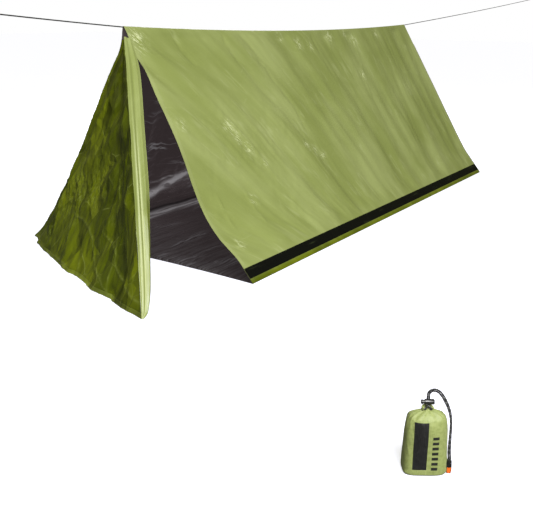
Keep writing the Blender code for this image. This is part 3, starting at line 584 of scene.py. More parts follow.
def cordPiece(name, path, step, sides, radiusAt, mapTurn, finish):
    # A mesh tube along a path, with a map that is once round across and turns along.
    path, length = evenPoints(path, step)
    count = len(path)
    along = np.gradient(path, axis=0)
    along /= np.linalg.norm(along, axis=1)[:, None]
    up = np.zeros((count, 3))
    start = np.array([0.0, 0.0, 1.0]) if abs(along[0, 2]) < 0.9 else np.array([0.0, 1.0, 0.0])
    for k in range(count):
        base = start if k == 0 else up[k - 1]
        base = base - along[k] * (base @ along[k])
        up[k] = base / np.linalg.norm(base)
    out = np.cross(along, up)
    share = np.arange(sides) / sides
    run = np.linspace(0, length, count)
    radii = radiusAt(run[:, None], share[None, :])
    turn = 2 * np.pi * share
    ring = np.cos(turn)[None, :, None] * up[:, None, :] + np.sin(turn)[None, :, None] * out[:, None, :]
    points = (path[:, None, :] + ring * radii[..., None]).reshape(-1, 3)
    points = np.vstack([points, path[0], path[-1]])
    k, j = np.meshgrid(np.arange(count - 1), np.arange(sides), indexing="ij")
    n = (j + 1) % sides
    quads = np.stack([k * sides + j, k * sides + n, (k + 1) * sides + n, (k + 1) * sides + j], axis=-1)
    faces = quads.reshape(-1, 4).tolist()
    corners = ((0, 0), (1, 0), (1, 1), (0, 1))
    maps = [np.stack([(j + across) / sides, run[k + on] / mapTurn], axis=-1) for across, on in corners]
    maps = np.stack(maps, axis=-2).reshape(-1, 2)
    ends = []
    last = (count - 1) * sides
    for side in range(sides):
        after = (side + 1) % sides
        faces.append([count * sides, after, side])
        faces.append([count * sides + 1, last + side, last + after])
        for turnAt in (0.0, length / mapTurn):
            ends += [[(side + share) / sides, turnAt] for share in (0.5, 0, 1)]
    mesh = bpy.data.meshes.new(name)
    mesh.from_pydata(points.tolist(), [], faces)
    layer = mesh.uv_layers.new(name="UVMap")
    layer.uv.foreach_set("vector", np.vstack([maps, ends]).astype(np.float32).ravel())
    mesh.materials.append(finish)
    mesh.shade_smooth()
    piece = bpy.data.objects.new(name, mesh)
    bpy.context.collection.objects.link(piece)
    return piece, path, length


def ropeHeight(x):
    return ridgeAt(x / tentLength + 0.5) - foldRadius


def ropeRoute(end, reach, count):
    # Taut stretch, end loop and returning tail of the ridge line, end -1 front and +1 rear.
    gap = ridgeLine["pieceGap"]
    pitch = ridgeLine["diameter"] + gap
    start = end * (tentLength / 2 + gap)
    base = ropeHeight(tentLength / 2)
    points = []
    for i in range(count + 1):
        s = i / count
        sag = ridgeLine["ownSag"] * 4 * s * (1 - s) * reach / ridgeLine["rearReach"]
        points.append((start + end * s * reach, 0, base + ridgeLine["slope"] * s * reach - sag))
    points = [Vector(point) for point in points]
    out = (points[-1] - points[-2]).normalized()
    down = out.cross(Vector((0, 1, 0))) * end
    tip = points[-1]
    for k in range(1, 25):
        turn = 2 * math.pi * k / 24
        ahead = gap + ridgeLine["loopLength"] * math.sin(turn / 2)
        rise = ridgeLine["loopSpread"] * math.sin(turn) * math.sin(turn / 2)
        points.append(tip + out * ahead + down * (pitch * float(smooth(k / 24)) - rise))
    for k in range(1, 6):
        points.append(tip - out * ridgeLine["loopTail"] * k / 5 + down * pitch)
    return points, tip, out, down


def knotRoute(tip, out, down):
    # The wound turns that close the loop.
    diameter = ridgeLine["diameter"]
    pitch = diameter + ridgeLine["pieceGap"]
    tall = pitch / 2 + diameter + ridgeLine["wrapClearance"]
    wide = diameter + ridgeLine["wrapClearance"]
    points = []
    for k in range(24 * ridgeLine["wrapTurns"] + 1):
        turn = 2 * math.pi * k / 24
        back = ridgeLine["wrapInset"] + (diameter + ridgeLine["turnGap"]) * k / 24
        across = Vector((0, 1, 0)) * wide * math.sin(turn) + down * (pitch / 2 + tall * math.cos(turn))
        points.append(tip - out * back + across)
    first = (points[0] - points[1]).normalized() * diameter
    last = (points[-1] - points[-2]).normalized() * diameter
    return [points[0] + first, *points, points[-1] + last]


def makeRidgeLine():
    radius = ridgeLine["diameter"] / 2
    finish = makeCordFinish("ridgeLineBraid", ridgeLine["colour"], ridgeLine["carriers"], 0.0)
    radii = braidRadii(radius, ridgeLine["relief"], ridgeLine["carriers"], ridgeLine["carrierTurn"])
    turn = ridgeLine["carrierTurn"]
    sides = ridgeLine["sides"]
    for label, end, count in (("front", -1, 8), ("rear", 1, 26)):
        step = ridgeLine[label + "Step"]
        route, tip, out, down = ropeRoute(end, ridgeLine[label + "Reach"], count)
        wound = knotRoute(tip, out, down)
        knot, _, _ = cordPiece(label + "Knot", wound, ridgeLine["knotStep"], sides, radii, turn, finish)
        pieceDone(knot, "tent", "rope", "knot_" + label)
        rope, path, length = cordPiece(label + "Rope", route, step, sides, radii, turn, finish)
        pieceDone(rope, "tent", "rope", "rope_" + label, "loop_" + label)
        print(label, "rope length, m", round(length, 3))
    inside = [(x, 0, ropeHeight(x)) for x in np.linspace(-tentLength / 2, tentLength / 2, 40)]
    step, sides = ridgeLine["insideStep"], ridgeLine["insideSides"]
    inner, _, _ = cordPiece("ridgeCore", inside, step, sides, radii, turn, finish)
    pieceDone(inner, "tent", "rope", "ridge_line")


makeRidgeLine()
print("ridge line made")


sackSettings = {
    "place": (-1.97, -1.45),
    "turnDegrees": -57.5,
    "width": 0.088,
    "depth": 0.056,
    "height": 0.134,
    "cordDiameter": 0.0035,
    "cordGap": 0.0003,
    "strandTwist": 0.9,
    "twistStart": 0.13,
    "carriers": 8,
    "carrierTurn": 0.0115,
    "cordRelief": 0.00026,
    "cordStep": 0.00036,
    "cordSides": 32,
    "cordColour": (0.016, 0.016, 0.017),
    "hemRing": 0.0086,
    "hemBoreClearance": 0.0004,
    "hemWall": 0.0008,
    "hemPleat": 0.0008,
    "hemClearance": 0.0006,
    "hemOpeningDegrees": 110.0,
    "lockHeight": 0.1512,
    "barrelRadius": 0.0055,
}

# The way of the drawcord's two strands from the lock, over the shoulder and down to the whistle
strandRoute = (
    (0.0000, 0.0000, 0.1463), (0.0000, 0.0000, 0.1530), (0.0000, 0.0000, 0.1600),
    (0.0000, 0.0000, 0.1640), (0.0001, 0.0000, 0.1676), (0.0018, -0.0002, 0.1726),
    (0.0062, -0.0007, 0.1758), (0.0125, -0.0014, 0.1770), (0.0195, -0.0024, 0.1740),
    (0.0260, -0.0036, 0.1670), (0.0320, -0.0050, 0.1575), (0.0375, -0.0066, 0.1465),
    (0.0422, -0.0082, 0.1340), (0.0452, -0.0096, 0.1190), (0.0464, -0.0106, 0.1000),
    (0.0466, -0.0112, 0.0800), (0.0466, -0.0116, 0.0600), (0.0472, -0.0119, 0.0450),
    (0.0483, -0.0120, 0.0360), (0.0486, -0.0120, 0.0300), (0.0486, -0.0120, 0.0230),
)
sackTurn = math.radians(sackSettings["turnDegrees"])
sackMatrix = Matrix.Translation((*sackSettings["place"], 0)) @ Matrix.Rotation(sackTurn, 4, "Z")


def fromSack(points):
    # Points of the sack's own frame in the row frame.
    points = np.asarray(points, float)
    turn = np.array(sackMatrix.to_3x3())
    return points @ turn.T + np.array(sackMatrix.translation)


def hemHeight():
    bore = sackSettings["cordDiameter"] / 2 + sackSettings["hemBoreClearance"]
    gaps = ridgeLine["pieceGap"] + sackSettings["hemClearance"]
    return sackSettings["height"] + gaps + bore + sackSettings["hemWall"] + sackSettings["hemPleat"]


def strandPath(side):
    # One strand beside its twin, with half a twist on the way, side -1 inner and +1 outer.
    route, _ = evenPoints(throughPoints(strandRoute), 0.0058)
    pitch = sackSettings["cordDiameter"] + sackSettings["cordGap"]
    points = []
    for i, point in enumerate(route):
        along = route[min(i + 1, len(route) - 1)] - route[max(i - 1, 0)]
        along /= np.linalg.norm(along)
        outer = np.cross(along, (0, 1, 0))
        outer /= np.linalg.norm(outer)
        # the twist starts above the lock's reach, so that the lock slides freely
        start = sackSettings["twistStart"]
        share = max(0, (i / (len(route) - 1) - start) / (1 - start))
        swing = sackSettings["strandTwist"] * math.sin(math.pi * share) ** 2
        offset = outer * math.cos(swing) + np.cross(outer, along) * math.sin(swing)
        points.append(point + offset * side * pitch / 2)
    return throughPoints(points)


def neckPath():
    half = (sackSettings["cordDiameter"] + sackSettings["cordGap"]) / 2
    diameter = sackSettings["cordDiameter"]
    low = sackSettings["lockHeight"] - sackSettings["barrelRadius"] + ridgeLine["pieceGap"]
    rise = [
        (half, 0, low),
        (half, 0, low - diameter / 2),
        (half * 1.1, -diameter / 2, low - diameter),
        (half * 1.9, -diameter * 1.4, low - diameter * 1.6),
    ]
    inside = sackSettings["hemOpeningDegrees"] / 2 - 12
    ring, radius = [], sackSettings["hemRing"]
    for sweep in np.radians(np.linspace(inside, 360 - inside, 27) - 90):
        ring.append((radius * math.cos(sweep), radius * math.sin(sweep), hemHeight()))
    mirrored = [(-x, y, z) for x, y, z in rise]
    return throughPoints([*rise, *ring, *mirrored[::-1]])


def makeDrawcord():
    radius = sackSettings["cordDiameter"] / 2
    carriers, turn = sackSettings["carriers"], sackSettings["carrierTurn"]
    finish = makeCordFinish("drawcordBraid", sackSettings["cordColour"], carriers, 1.0)
    radii = braidRadii(radius, sackSettings["cordRelief"], carriers, turn)
    step, sides = sackSettings["cordStep"], sackSettings["cordSides"]
    neck, _, _ = cordPiece("drawcordNeck", fromSack(neckPath()), step, sides, radii, turn, finish)
    pieceDone(neck, "sack", "drawcord", "drawcord_neck")
    strands = []
    for side, label in ((-1, "inner"), (1, "outer")):
        name = "drawcord" + label.capitalize() + "Strand"
        route = fromSack(strandPath(side))
        strand, path, length = cordPiece(name, route, step, sides, radii, turn, finish)
        pieceDone(strand, "sack", "drawcord", "drawcord_" + label + "_strand")
        strands.append((strand, path, length))
        print(name, "length, m", round(length, 4))
    return strands


drawcordStrands = makeDrawcord()
print("drawcord made")


# Film of the tent: walls, floor, tape and doors, each one thin sheet with its own creases


def wallSection(u):
    # Height of the ridge fold's centre, slant length and lean of the flat wall at a station.
    centre = ridgeAt(u) - foldRadius
    reach = np.hypot(halfWidth, centre - footHeight)
    lean = np.arccos(foldRadius / reach) - np.arctan2(centre - footHeight, halfWidth)
    return centre, np.sqrt(reach**2 - foldRadius**2), lean


def wallPlace(side, u, along, lift):
    # Points on a wall's slant, side -1 near and +1 far, lifted outwards from the flat face.
    _, _, lean = wallSection(u)
    y = halfWidth - along * np.sin(lean) + lift * np.cos(lean)
    z = footHeight + along * np.cos(lean) + lift * np.sin(lean)
    return np.stack([mix(-tentLength / 2, tentLength / 2, u) + 0 * z, side * y, z], axis=-1)


def fromTable(table, share, pieces=12):
    # Value at a share, from a smooth curve through a table's rows.
    spots = throughPoints([(*row, 0.0) for row in table], pieces)
    order = np.argsort(spots[:, 0])
    return np.interp(share, spots[order, 0], spots[order, 1])


wallShape = {
    # share up the slant, metres that the film hangs inwards
    "nearMouth": (
        (0, 0), (0.1, 0.013), (0.2, 0.044), (0.3, 0.053), (0.4, 0.044),
        (0.5, 0.025), (0.6, 0.012), (0.75, 0.004), (1, 0),
    ),
    "nearRear": ((0, 0), (0.1, 0.012), (0.2, 0.019), (0.48, 0.013), (0.75, 0.007), (1, 0)),
    "farMouth": (
        (0, 0), (0.06, 0.019), (0.15, 0.034), (0.3, 0.043),
        (0.5, 0.042), (0.75, 0.030), (0.92, 0.025), (1, 0),
    ),
    "farMiddle": ((0, 0), (0.05, 0.045), (0.12, 0.070), (0.3, 0.060), (0.6, 0.032), (1, 0)),
    "mouthFade": 0.55,
    "filmWaver": 0.012,
    # metres over which the far wall's shape and folds change at its ends
    "farMouthFade": 0.2,
    "farFoldStart": 0.15,
    "farRearEnd": 0.5,
    # start and width of the strips without creases
    "ridgeCalm": (0.004, 0.03),
    "footCalm": (0.045, 0.07),
    "mouthCalm": 0.07,
    "rearCalm": 0.04,
    "endCreases": 0.2,         # share of the creases' height left at the very ends
    "footOut": 0.0003,
    "footTuck": 0.0016,
    "footLow": 0.0005,
}


def hangDepth(side, u, along, slant):
    # How far a wall's film hangs inwards of the flat wall, before its creases.
    v = np.clip(along / slant, 0, 1)
    run = u * tentLength
    drop = slant - along
    calm = smooth((along - tent["flatFoot"]) / tent["foldRise"]) * smooth(drop / tent["foldRise"])
    spoke = np.arctan2(drop, run + tent["foldRise"])
    radial = 0.5 - 0.5 * np.cos(4 * spoke * tent["tensionCount"] / 2 + side)
    tension = tent["tensionFold"] * radial * np.exp(-np.hypot(run, drop) / tent["tensionFade"])
    toRear = (1 - u) * tentLength
    upright = 0.5 - 0.5 * np.cos(2 * np.pi * toRear / tent["rearFoldPitch"])
    rear = tent["rearFold"] * upright * smooth(1 - toRear / tent["rearFoldReach"])
    mouthShare = np.exp(-((run / wallShape["mouthFade"]) ** 2))
    if side < 0:
        rearBelly, mouthBelly = (fromTable(wallShape[name], v) for name in ("nearRear", "nearMouth"))
        belly = mix(rearBelly, mouthBelly, mouthShare)
    else:
        middle = fromTable(wallShape["farMiddle"], v) * smooth(toRear / wallShape["farRearEnd"])
        atMouth = np.exp(-((run / wallShape["farMouthFade"]) ** 2))
        belly = mix(middle, fromTable(wallShape["farMouth"], v), atMouth)
        tension = tension * smooth(run / wallShape["farFoldStart"])
    return calm * (tension + rear) + belly


def creaseHeights(x, y, creases):
    # Sum of creases on the flat film: start, angle, length, half width, height and sharpness of each.
    total = np.zeros_like(x)
    for startX, startY, angle, length, width, height, sharp in creases:
        runX, runY = math.cos(angle), math.sin(angle)
        along = (x - startX) * runX + (y - startY) * runY
        beside = (y - startY) * runX - (x - startX) * runY
        reach = 4.0 * width
        near = (along > 0) & (along < length) & (np.abs(beside) < reach)
        if not near.any():
            continue
        share = along[near] / length
        away = np.abs(beside[near]) / (width * (0.6 + 0.4 * share))
        edge = mix(np.exp(-(away**2)), np.exp(-1.3 * away), sharp)
        total[near] += height * np.sin(np.pi * share) ** 0.6 * edge
    return total


def scatter(rng, count, x, y, angle, length, width, height, sharp):
    # Random creases whose starts, angles in degrees and sizes lie between the given limits.
    rows = []
    for _ in range(count):
        turn = math.radians(rng.uniform(*angle))
        size = rng.uniform(*length)
        depth = rng.uniform(*height) * rng.choice((-1, 1))
        start = (rng.uniform(*x), rng.uniform(*y))
        rows.append((*start, turn, size, rng.uniform(*width), depth, sharp))
    return rows


def waver(x, y, rng, size, pitch):
    # a slow random drift, so that no crease runs dead straight
    total = np.zeros_like(x)
    for share in (1.0, 2.1):
        for _ in range(3):
            turn, phase = rng.uniform(0, 2 * np.pi, 2)
            run = (x * np.cos(turn) + y * np.sin(turn)) * 2 * np.pi * share / pitch
            total += np.sin(run + phase) * size / (3 * share)
    return total


def lattice(table, x, y):
    # smooth random heights between the knots of a square table that repeats
    size = len(table)
    lowX, lowY = np.floor(x).astype(int), np.floor(y).astype(int)
    shareX, shareY = smooth(x - lowX), smooth(y - lowY)
    left, right, base, top = lowX % size, (lowX + 1) % size, lowY % size, (lowY + 1) % size
    low = mix(table[left, base], table[right, base], shareX)
    high = mix(table[left, top], table[right, top], shareX)
    return mix(low, high, shareY)


def crumple(x, y, seed, pitch, run, turnDegrees=0.0, layers=3):
    # creased film with sharp crests and valleys, about -1 to 1: pitch across its folds, run along them
    rng = np.random.default_rng(seed)
    turn = math.radians(turnDegrees)
    across = (x * math.cos(turn) + y * math.sin(turn)) / pitch + 20
    along = (y * math.cos(turn) - x * math.sin(turn)) / run + 20
    total = np.zeros_like(x)
    for layer in range(layers):
        crest = np.abs(lattice(rng.uniform(-1, 1, (64, 64)), across, along))
        valley = np.abs(lattice(rng.uniform(-1, 1, (64, 64)), across + 7.3, along + 3.1))
        total += (valley - crest) * 0.55**layer
        across, along = 1.85 * across + 0.35 * along, 1.85 * along - 0.35 * across
    return total


def foldLayer(settings, x, y, seed, turnDegrees, layers):
    return settings["depth"] * crumple(x, y, seed, settings["pitch"], settings["run"], turnDegrees, layers)


def slowMask(x, y, seed, size, low, high):
    # 0 to 1 in slow patches, so that creases come in groups
    table = np.random.default_rng(seed).uniform(0, 1, (64, 64))
    return smooth((lattice(table, x / size + 9, y / size + 9) - low) / (high - low))


def newGrid(name, columns, rows):
    # A flat grid, with each point's shares across and up.
    bpy.ops.object.select_all(action="DESELECT")
    bpy.ops.mesh.primitive_grid_add(x_subdivisions=columns, y_subdivisions=rows, size=2)
    piece = bpy.context.active_object
    piece.name = name
    flat = np.empty(len(piece.data.vertices) * 3)
    piece.data.vertices.foreach_get("co", flat)
    flat = flat.reshape(-1, 3)
    return piece, (flat[:, 0] + 1) / 2, (flat[:, 1] + 1) / 2


def thicken(piece, thickness):
    # Gives a sheet its thickness on its inner side, with the second finish there if it has two.
    wall = piece.modifiers.new("thickness", "SOLIDIFY")
    wall.thickness = thickness
    wall.offset = -1
    if len(piece.data.materials) > 1:
        wall.material_offset = 1
        wall.material_offset_rim = 0
    bpy.ops.object.modifier_apply(modifier="thickness")
    piece.data.shade_smooth()


def filmSheet(name, counts, placeAt, outward, thickness, finishes, marks=None, foldMap=None):
    # A grid laid on a surface: placeAt gives points for shares s and t; outward is a rough way out.
    # foldMap gives the map across and along the folds, in metres.
    piece, s, t = newGrid(name, *counts)
    mesh = piece.data
    mesh.vertices.foreach_set("co", placeAt(s, t).ravel())
    mesh.update()
    normals = np.empty(len(mesh.polygons) * 3)
    mesh.polygons.foreach_get("normal", normals)
    if normals.reshape(-1, 3).mean(axis=0) @ np.array(outward) < 0:
        bpy.ops.object.mode_set(mode="EDIT")
        bpy.ops.mesh.select_all(action="SELECT")
        bpy.ops.mesh.flip_normals()
        bpy.ops.object.mode_set(mode="OBJECT")
    for label, values in (marks(s, t) if marks else {}).items():
        attribute = mesh.attributes.new(label, "FLOAT", "POINT")
        attribute.data.foreach_set("value", np.asarray(values, np.float32))
    if foldMap:
        across, along = foldMap(s, t)
        corners = np.empty(len(mesh.loops), np.int32)
        mesh.loops.foreach_get("vertex_index", corners)
        maps = np.stack([across[corners], along[corners]], axis=-1)
        mesh.uv_layers[0].uv.foreach_set("vector", maps.astype(np.float32).ravel())
    for finish in finishes:
        mesh.materials.append(finish)
    thicken(piece, thickness)
    mesh.set_sharp_from_angle(angle=math.radians(tent["sharpDegrees"]))
    return piece


# Grid rows over the foot's fold and over the ridge fold, besides those of the slant
wallGrid = {"columns": 300, "rows": 128, "footRows": 3, "arcRows": 8, "mouthPitch": 0.8}


def wallShares(s, t):
    # Share along the tent, with more stations at the mouth, then row number and share up the wall.
    u = s * mix(wallGrid["mouthPitch"], 1, s)
    row = np.rint(t * wallGrid["rows"])
    slantRows = wallGrid["rows"] - wallGrid["footRows"] - wallGrid["arcRows"]
    return u, row, (row - wallGrid["footRows"]) / slantRows


nearWallCreases = {
    "seed": 11,
    # long folds: the lean of the fan at the mouth in degrees, and how far back it stands upright
    "fanLean": 43.0,
    "fanReach": 2.1,
    # metres across and along the folds, metres deep
    "broad": {"pitch": 0.120, "run": 0.80, "depth": 0.0085, "sharp": 0.0030},
    "narrow": {"pitch": 0.046, "run": 0.50, "depth": 0.0024},
    "facet": {"pitch": 0.070, "run": 0.100, "depth": 0.0014},
    "crushed": {"pitch": 0.020, "run": 0.028, "depth": 0.0042},
    # half width and height of the creases along lines
    "lineSizes": {"valleys": (0.014, -0.0045), "crests": (0.009, 0.0035), "packing": (0.006, 0.0014)},
    # long folds on the flat film, metres from the mouth and up the slant
    "valleys": (
        ((0.735, 0.844), (0.776, 0.807), (0.796, 0.709), (0.837, 0.617), (0.858, 0.489)),
        ((0.255, 0.970), (0.276, 0.895), (0.316, 0.839)),
        ((0.562, 0.969), (0.572, 0.902), (0.602, 0.815)),
        ((1.300, 0.950), (1.290, 0.820), (1.330, 0.700)),
        ((1.817, 0.552), (1.848, 0.417), (1.858, 0.264)),
        ((2.090, 0.940), (2.080, 0.700), (2.110, 0.450)),
    ),
    "crests": (
        ((1.450, 0.952), (1.419, 0.842), (1.450, 0.714), (1.439, 0.610)),
        ((1.746, 0.949), (1.695, 0.789), (1.623, 0.691), (1.613, 0.574)),
        ((2.001, 0.941), (2.020, 0.750), (2.000, 0.550)),
        ((2.200, 0.908), (2.170, 0.700), (2.190, 0.400)),
        ((0.102, 0.341), (0.112, 0.267), (0.123, 0.192)),
        ((0.265, 0.321), (0.265, 0.235), (0.276, 0.179)),
    ),
    # patches of sharp short creases: metres from the mouth and up the slant, radius
    "patches": (
        (0.322, 0.570, 0.028), (0.357, 0.524, 0.026), (0.395, 0.478, 0.024),
        (0.790, 0.430, 0.022), (0.837, 0.397, 0.022), (0.888, 0.366, 0.020),
        (0.459, 0.406, 0.015), (0.061, 0.609, 0.020), (0.296, 0.284, 0.020),
        (0.082, 0.149, 0.020), (1.001, 0.940, 0.022), (1.123, 0.903, 0.028),
        (1.220, 0.888, 0.022), (1.460, 0.934, 0.028), (1.644, 0.948, 0.018),
        (1.715, 0.912, 0.028), (1.623, 0.715, 0.026), (2.001, 0.941, 0.025),
        (0.035, 0.940, 0.042),
    ),
    # straight packing creases: start and end on the flat film
    "packing": (
        ((0.286, 0.761), (0.801, 0.772)),
        ((0.113, 0.872), (0.477, 0.865)),
        ((0.60, 0.40), (1.30, 0.42)),
        ((1.10, 0.62), (1.90, 0.60)),
        ((1.62, 0.30), (1.66, 0.80)),
        ((0.86, 0.12), (0.88, 0.60)),
    ),
}


def lineCreases(lines, width, height, over=0.0, rng=None):
    # Sharp creases from point to point of each line, run over their ends by a share of their length.
    rows = []
    for line in lines:
        for (x, y), (toX, toY) in zip(line, line[1:]):
            turn = math.atan2(toY - y, toX - x)
            length = math.hypot(toX - x, toY - y)
            start = (x - over * length * math.cos(turn), y - over * length * math.sin(turn))
            size = height * rng.uniform(0.7, 1.2) if rng else height
            rows.append((*start, turn, length * (1 + 2 * over), width, size, 1.0))
    return rows


def fanAcross(x, drop):
    # Place across the near wall's folds: lines of equal value fan out from the ridge at the mouth.
    lean = math.tan(math.radians(nearWallCreases["fanLean"]))
    return x - drop * lean * (1 - 0.97 * smooth(x / nearWallCreases["fanReach"]))


def patchShare(x, y, patches):
    # 1 inside the round patches and 0 away from them
    total = np.zeros_like(x)
    for placeX, placeY, radius in patches:
        total = np.maximum(total, np.exp(-(((x - placeX) ** 2 + (y - placeY) ** 2) / radius**2)))
    return total


def undulate(x, y, seed, pitch, run):
    # soft folds without crests, about -1 to 1
    rng = np.random.default_rng(seed)
    across, along = x / pitch + 20, y / run + 20
    slow = lattice(rng.uniform(-1, 1, (64, 64)), across, along)
    return slow + 0.45 * lattice(rng.uniform(-1, 1, (64, 64)), 1.9 * across + 0.3 * along, 1.7 * along)


def nearWallRelief(x, y, slant):
    # height of the near wall's creases above its hanging film
    settings = nearWallCreases
    seed, drop = settings["seed"], slant - y
    across = fanAcross(x, drop)
    broad = settings["broad"]
    total = broad["depth"] * undulate(across, drop, seed, broad["pitch"], broad["run"])
    sharp = crumple(across, drop, seed + 6, broad["pitch"] * 1.4, broad["run"], 0, 1)
    total += broad["sharp"] * sharp * slowMask(x, y, seed + 7, 0.4, 0.3, 0.7)
    groups = 0.12 + 0.88 * slowMask(x, y, seed + 1, 0.26, 0.40, 0.85)
    narrow = foldLayer(settings["narrow"], across, drop, seed + 2, 4, 2)
    total += groups * (narrow + foldLayer(settings["facet"], x, y, seed + 3, -35, 3))
    crushed = foldLayer(settings["crushed"], x, y, seed + 4, 20, 2)
    total += crushed * patchShare(x, y, settings["patches"])
    rows = []
    for kind, (width, height) in settings["lineSizes"].items():
        rows += lineCreases(settings[kind], width, height)
    return total + creaseHeights(x, y, rows)


farWallCreases = {
    "seed": 23,
    "broad": {"pitch": 0.14, "run": 0.45, "depth": 0.0080},
    "facet": {"pitch": 0.050, "run": 0.080, "depth": 0.0026},
    # the crushed band seen through the mouth, brightened with painted highlights: start and end on the flat
    # film, half width
    "band": ((0.540, 0.150), (0.810, 0.252), 0.024),
    # a thin streak of painted highlight: start and end on the flat film, half width
    "streak": ((0.500, 0.219), (0.770, 0.256), 0.004),
    "banded": {"pitch": 0.022, "run": 0.070, "depth": 0.0050},
}


def bandShare(x, y, band):
    (startX, startY), (endX, endY), half = band
    length = math.hypot(endX - startX, endY - startY)
    runX, runY = (endX - startX) / length, (endY - startY) / length
    along = (x - startX) * runX + (y - startY) * runY
    beside = (y - startY) * runX - (x - startX) * runY
    ends = smooth((along + 0.1) / 0.12) * smooth((length + 0.1 - along) / 0.12)
    return np.exp(-((beside / half) ** 2)) * ends


def farWallRelief(x, y):
    settings = farWallCreases
    seed = settings["seed"]
    total = foldLayer(settings["broad"], x, y, seed, 8, 2)
    groups = 0.3 + 0.7 * slowMask(x, y, seed + 1, 0.2, 0.3, 0.7)
    facet = foldLayer(settings["facet"], x, y, seed + 2, -50, 3)
    band = foldLayer(settings["banded"], x, y, seed + 3, -69, 2)
    return total + groups * facet + band * bandShare(x, y, settings["band"])


def wallCreases(side, x, y, slant):
    # creases of a wall, calmed at its ridge fold, its foot and its front edge
    rng = np.random.default_rng(5 + side)
    drift = wallShape["filmWaver"]
    movedX = x + waver(x, y, rng, drift, 0.5)
    movedY = y + waver(x, y, rng, drift, 0.4)
    heights = nearWallRelief(movedX, movedY, slant) if side < 0 else farWallRelief(movedX, movedY)
    for away, (start, width) in ((slant - y, wallShape["ridgeCalm"]), (y, wallShape["footCalm"])):
        heights = heights * smooth((away - start) / width)
    for away, width in ((x, wallShape["mouthCalm"]), (tentLength - x, wallShape["rearCalm"])):
        heights = heights * mix(wallShape["endCreases"], 1, smooth(away / width))
    return heights


def wallFilm(side, s, t):
    # Outer face of a wall's film, from the foot over the slant to the ridge fold's crown.
    u, row, v = wallShares(s, t)
    centre, slant, lean = wallSection(u)
    along = np.clip(v, 0, 1) * slant
    depth = hangDepth(side, u, along, slant) - wallCreases(side, u * tentLength, along, slant)
    points = wallPlace(side, u, along, -np.where(v <= 0, 0, depth))
    foot = row < wallGrid["footRows"]
    share = row[foot] / wallGrid["footRows"]
    points[foot, 1] = side * (halfWidth + wallShape["footOut"] - wallShape["footTuck"] * (1 - share) ** 2)
    points[foot, 2] = mix(wallShape["footLow"], footHeight, share)
    arc = v > 1
    share = (row[arc] - (wallGrid["rows"] - wallGrid["arcRows"])) / wallGrid["arcRows"]
    turn = mix(lean[arc], np.pi / 2, share)
    points[arc, 1] = side * foldRadius * np.cos(turn)
    points[arc, 2] = centre[arc] + foldRadius * np.sin(turn)
    return points


def wallMarks(side, s, t):
    # What the finishes read: metres from a cut edge, share of crushed film and painted highlights, share of
    # the film's own colours against their painted-shade copy, and share of facets.
    u, _, v = wallShares(s, t)
    _, slant, _ = wallSection(u)
    edge = np.minimum(u, 1 - u) * tentLength
    x, y = u * tentLength, v * slant
    if side > 0:
        # the band and the streak get painted highlights on the inside
        streak = 0.7 * bandShare(x, y, farWallCreases["streak"])
        bands = np.maximum(bandShare(x, y, farWallCreases["band"]), streak)
        return {"hem": edge, "crush": bands, "pale": 0 * s + 1, "net": 0 * s + 0.2}
    # the crushed patches of the near wall also get painted glints
    patches = patchShare(x, y, nearWallCreases["patches"])
    # the strip at the near wall's foot, below the tape, takes the painted-shade colours
    return {"hem": edge, "crush": patches, "pale": smooth(v * 250 - 4), "net": 0 * s + 0.10}


def wallFoldMap(side, s, t):
    u, _, v = wallShares(s, t)
    _, slant, _ = wallSection(u)
    drop = slant * (1 - v)
    return (fanAcross(u * tentLength, drop) if side < 0 else u * tentLength), drop


def makeWall(name, side, node):
    wall = filmSheet(
        name, (wallGrid["columns"], wallGrid["rows"]), lambda s, t: wallFilm(side, s, t),
        (0, side, 0.6), tent["film"], (outerFilm, innerFilm),
        lambda s, t: wallMarks(side, s, t), lambda s, t: wallFoldMap(side, s, t),
    )
    pieceDone(wall, "tent", "film", node)


makeWall("nearWall", -1, "near_wall")
makeWall("farWall", 1, "far_wall")
print("walls made")


def tapePlace(s, t):
    # The tape lies on the near wall's film and follows its creases.
    _, slant, _ = wallSection(s)
    x, along = s * tentLength, tapeSettings["margin"] + t * tapeSettings["width"]
    depth = hangDepth(-1, s, along, slant) - wallCreases(-1, x, along, slant)
    lumps = tapeSettings["lump"] * np.clip(crumple(x, along, 83, 0.030, 0.022, 20, 2), 0, 1)
    return wallPlace(-1, s, along, tapeSettings["lift"] - depth + lumps)


def makeTape():
    tape = filmSheet(
        "seamTape", (tapeSettings["columns"], tapeSettings["rows"]), tapePlace, (0, -1, 0.6),
        tapeSettings["thickness"], (tapeFinish,),
    )
    pieceDone(tape, "tent", "tape", "seam_tape")


makeTape()


floorShape = {
    "seed": 31,
    "columns": 300,
    "rows": 120,
    "recess": 0.032,           # the front edge drawn back between its corners
    "backRoll": 0.030,         # height of the film's roll along the far wall
    "backRollPlace": 0.430,
    "backRollWidth": 0.028,
    "rise": 0.004,             # mean height of the creased film over the ground
    "drift": 0.02,
    "recessReach": 0.12,
    "recessPlace": 0.62,
    "calm": 0.07,              # share of the width without creases at the walls
    "endShare": 0.004,
    # strips along the far wall, a strip of painted light and a line of painted shade: place across the
    # floor and half width
    "litStrip": (0.360, 0.036),
    "paintedShadeStrip": (0.402, 0.008),
    "litShares": (0.95, 0.20), # on its strip, and at the mouth
    "paintedShadeShares": (0.22, 0.42), # everywhere, and more at the mouth
    "mouthFade": 0.30,
    "broad": {"pitch": 0.16, "run": 0.30, "depth": 0.0050},
    "facet": {"pitch": 0.045, "run": 0.090, "depth": 0.0022},
}


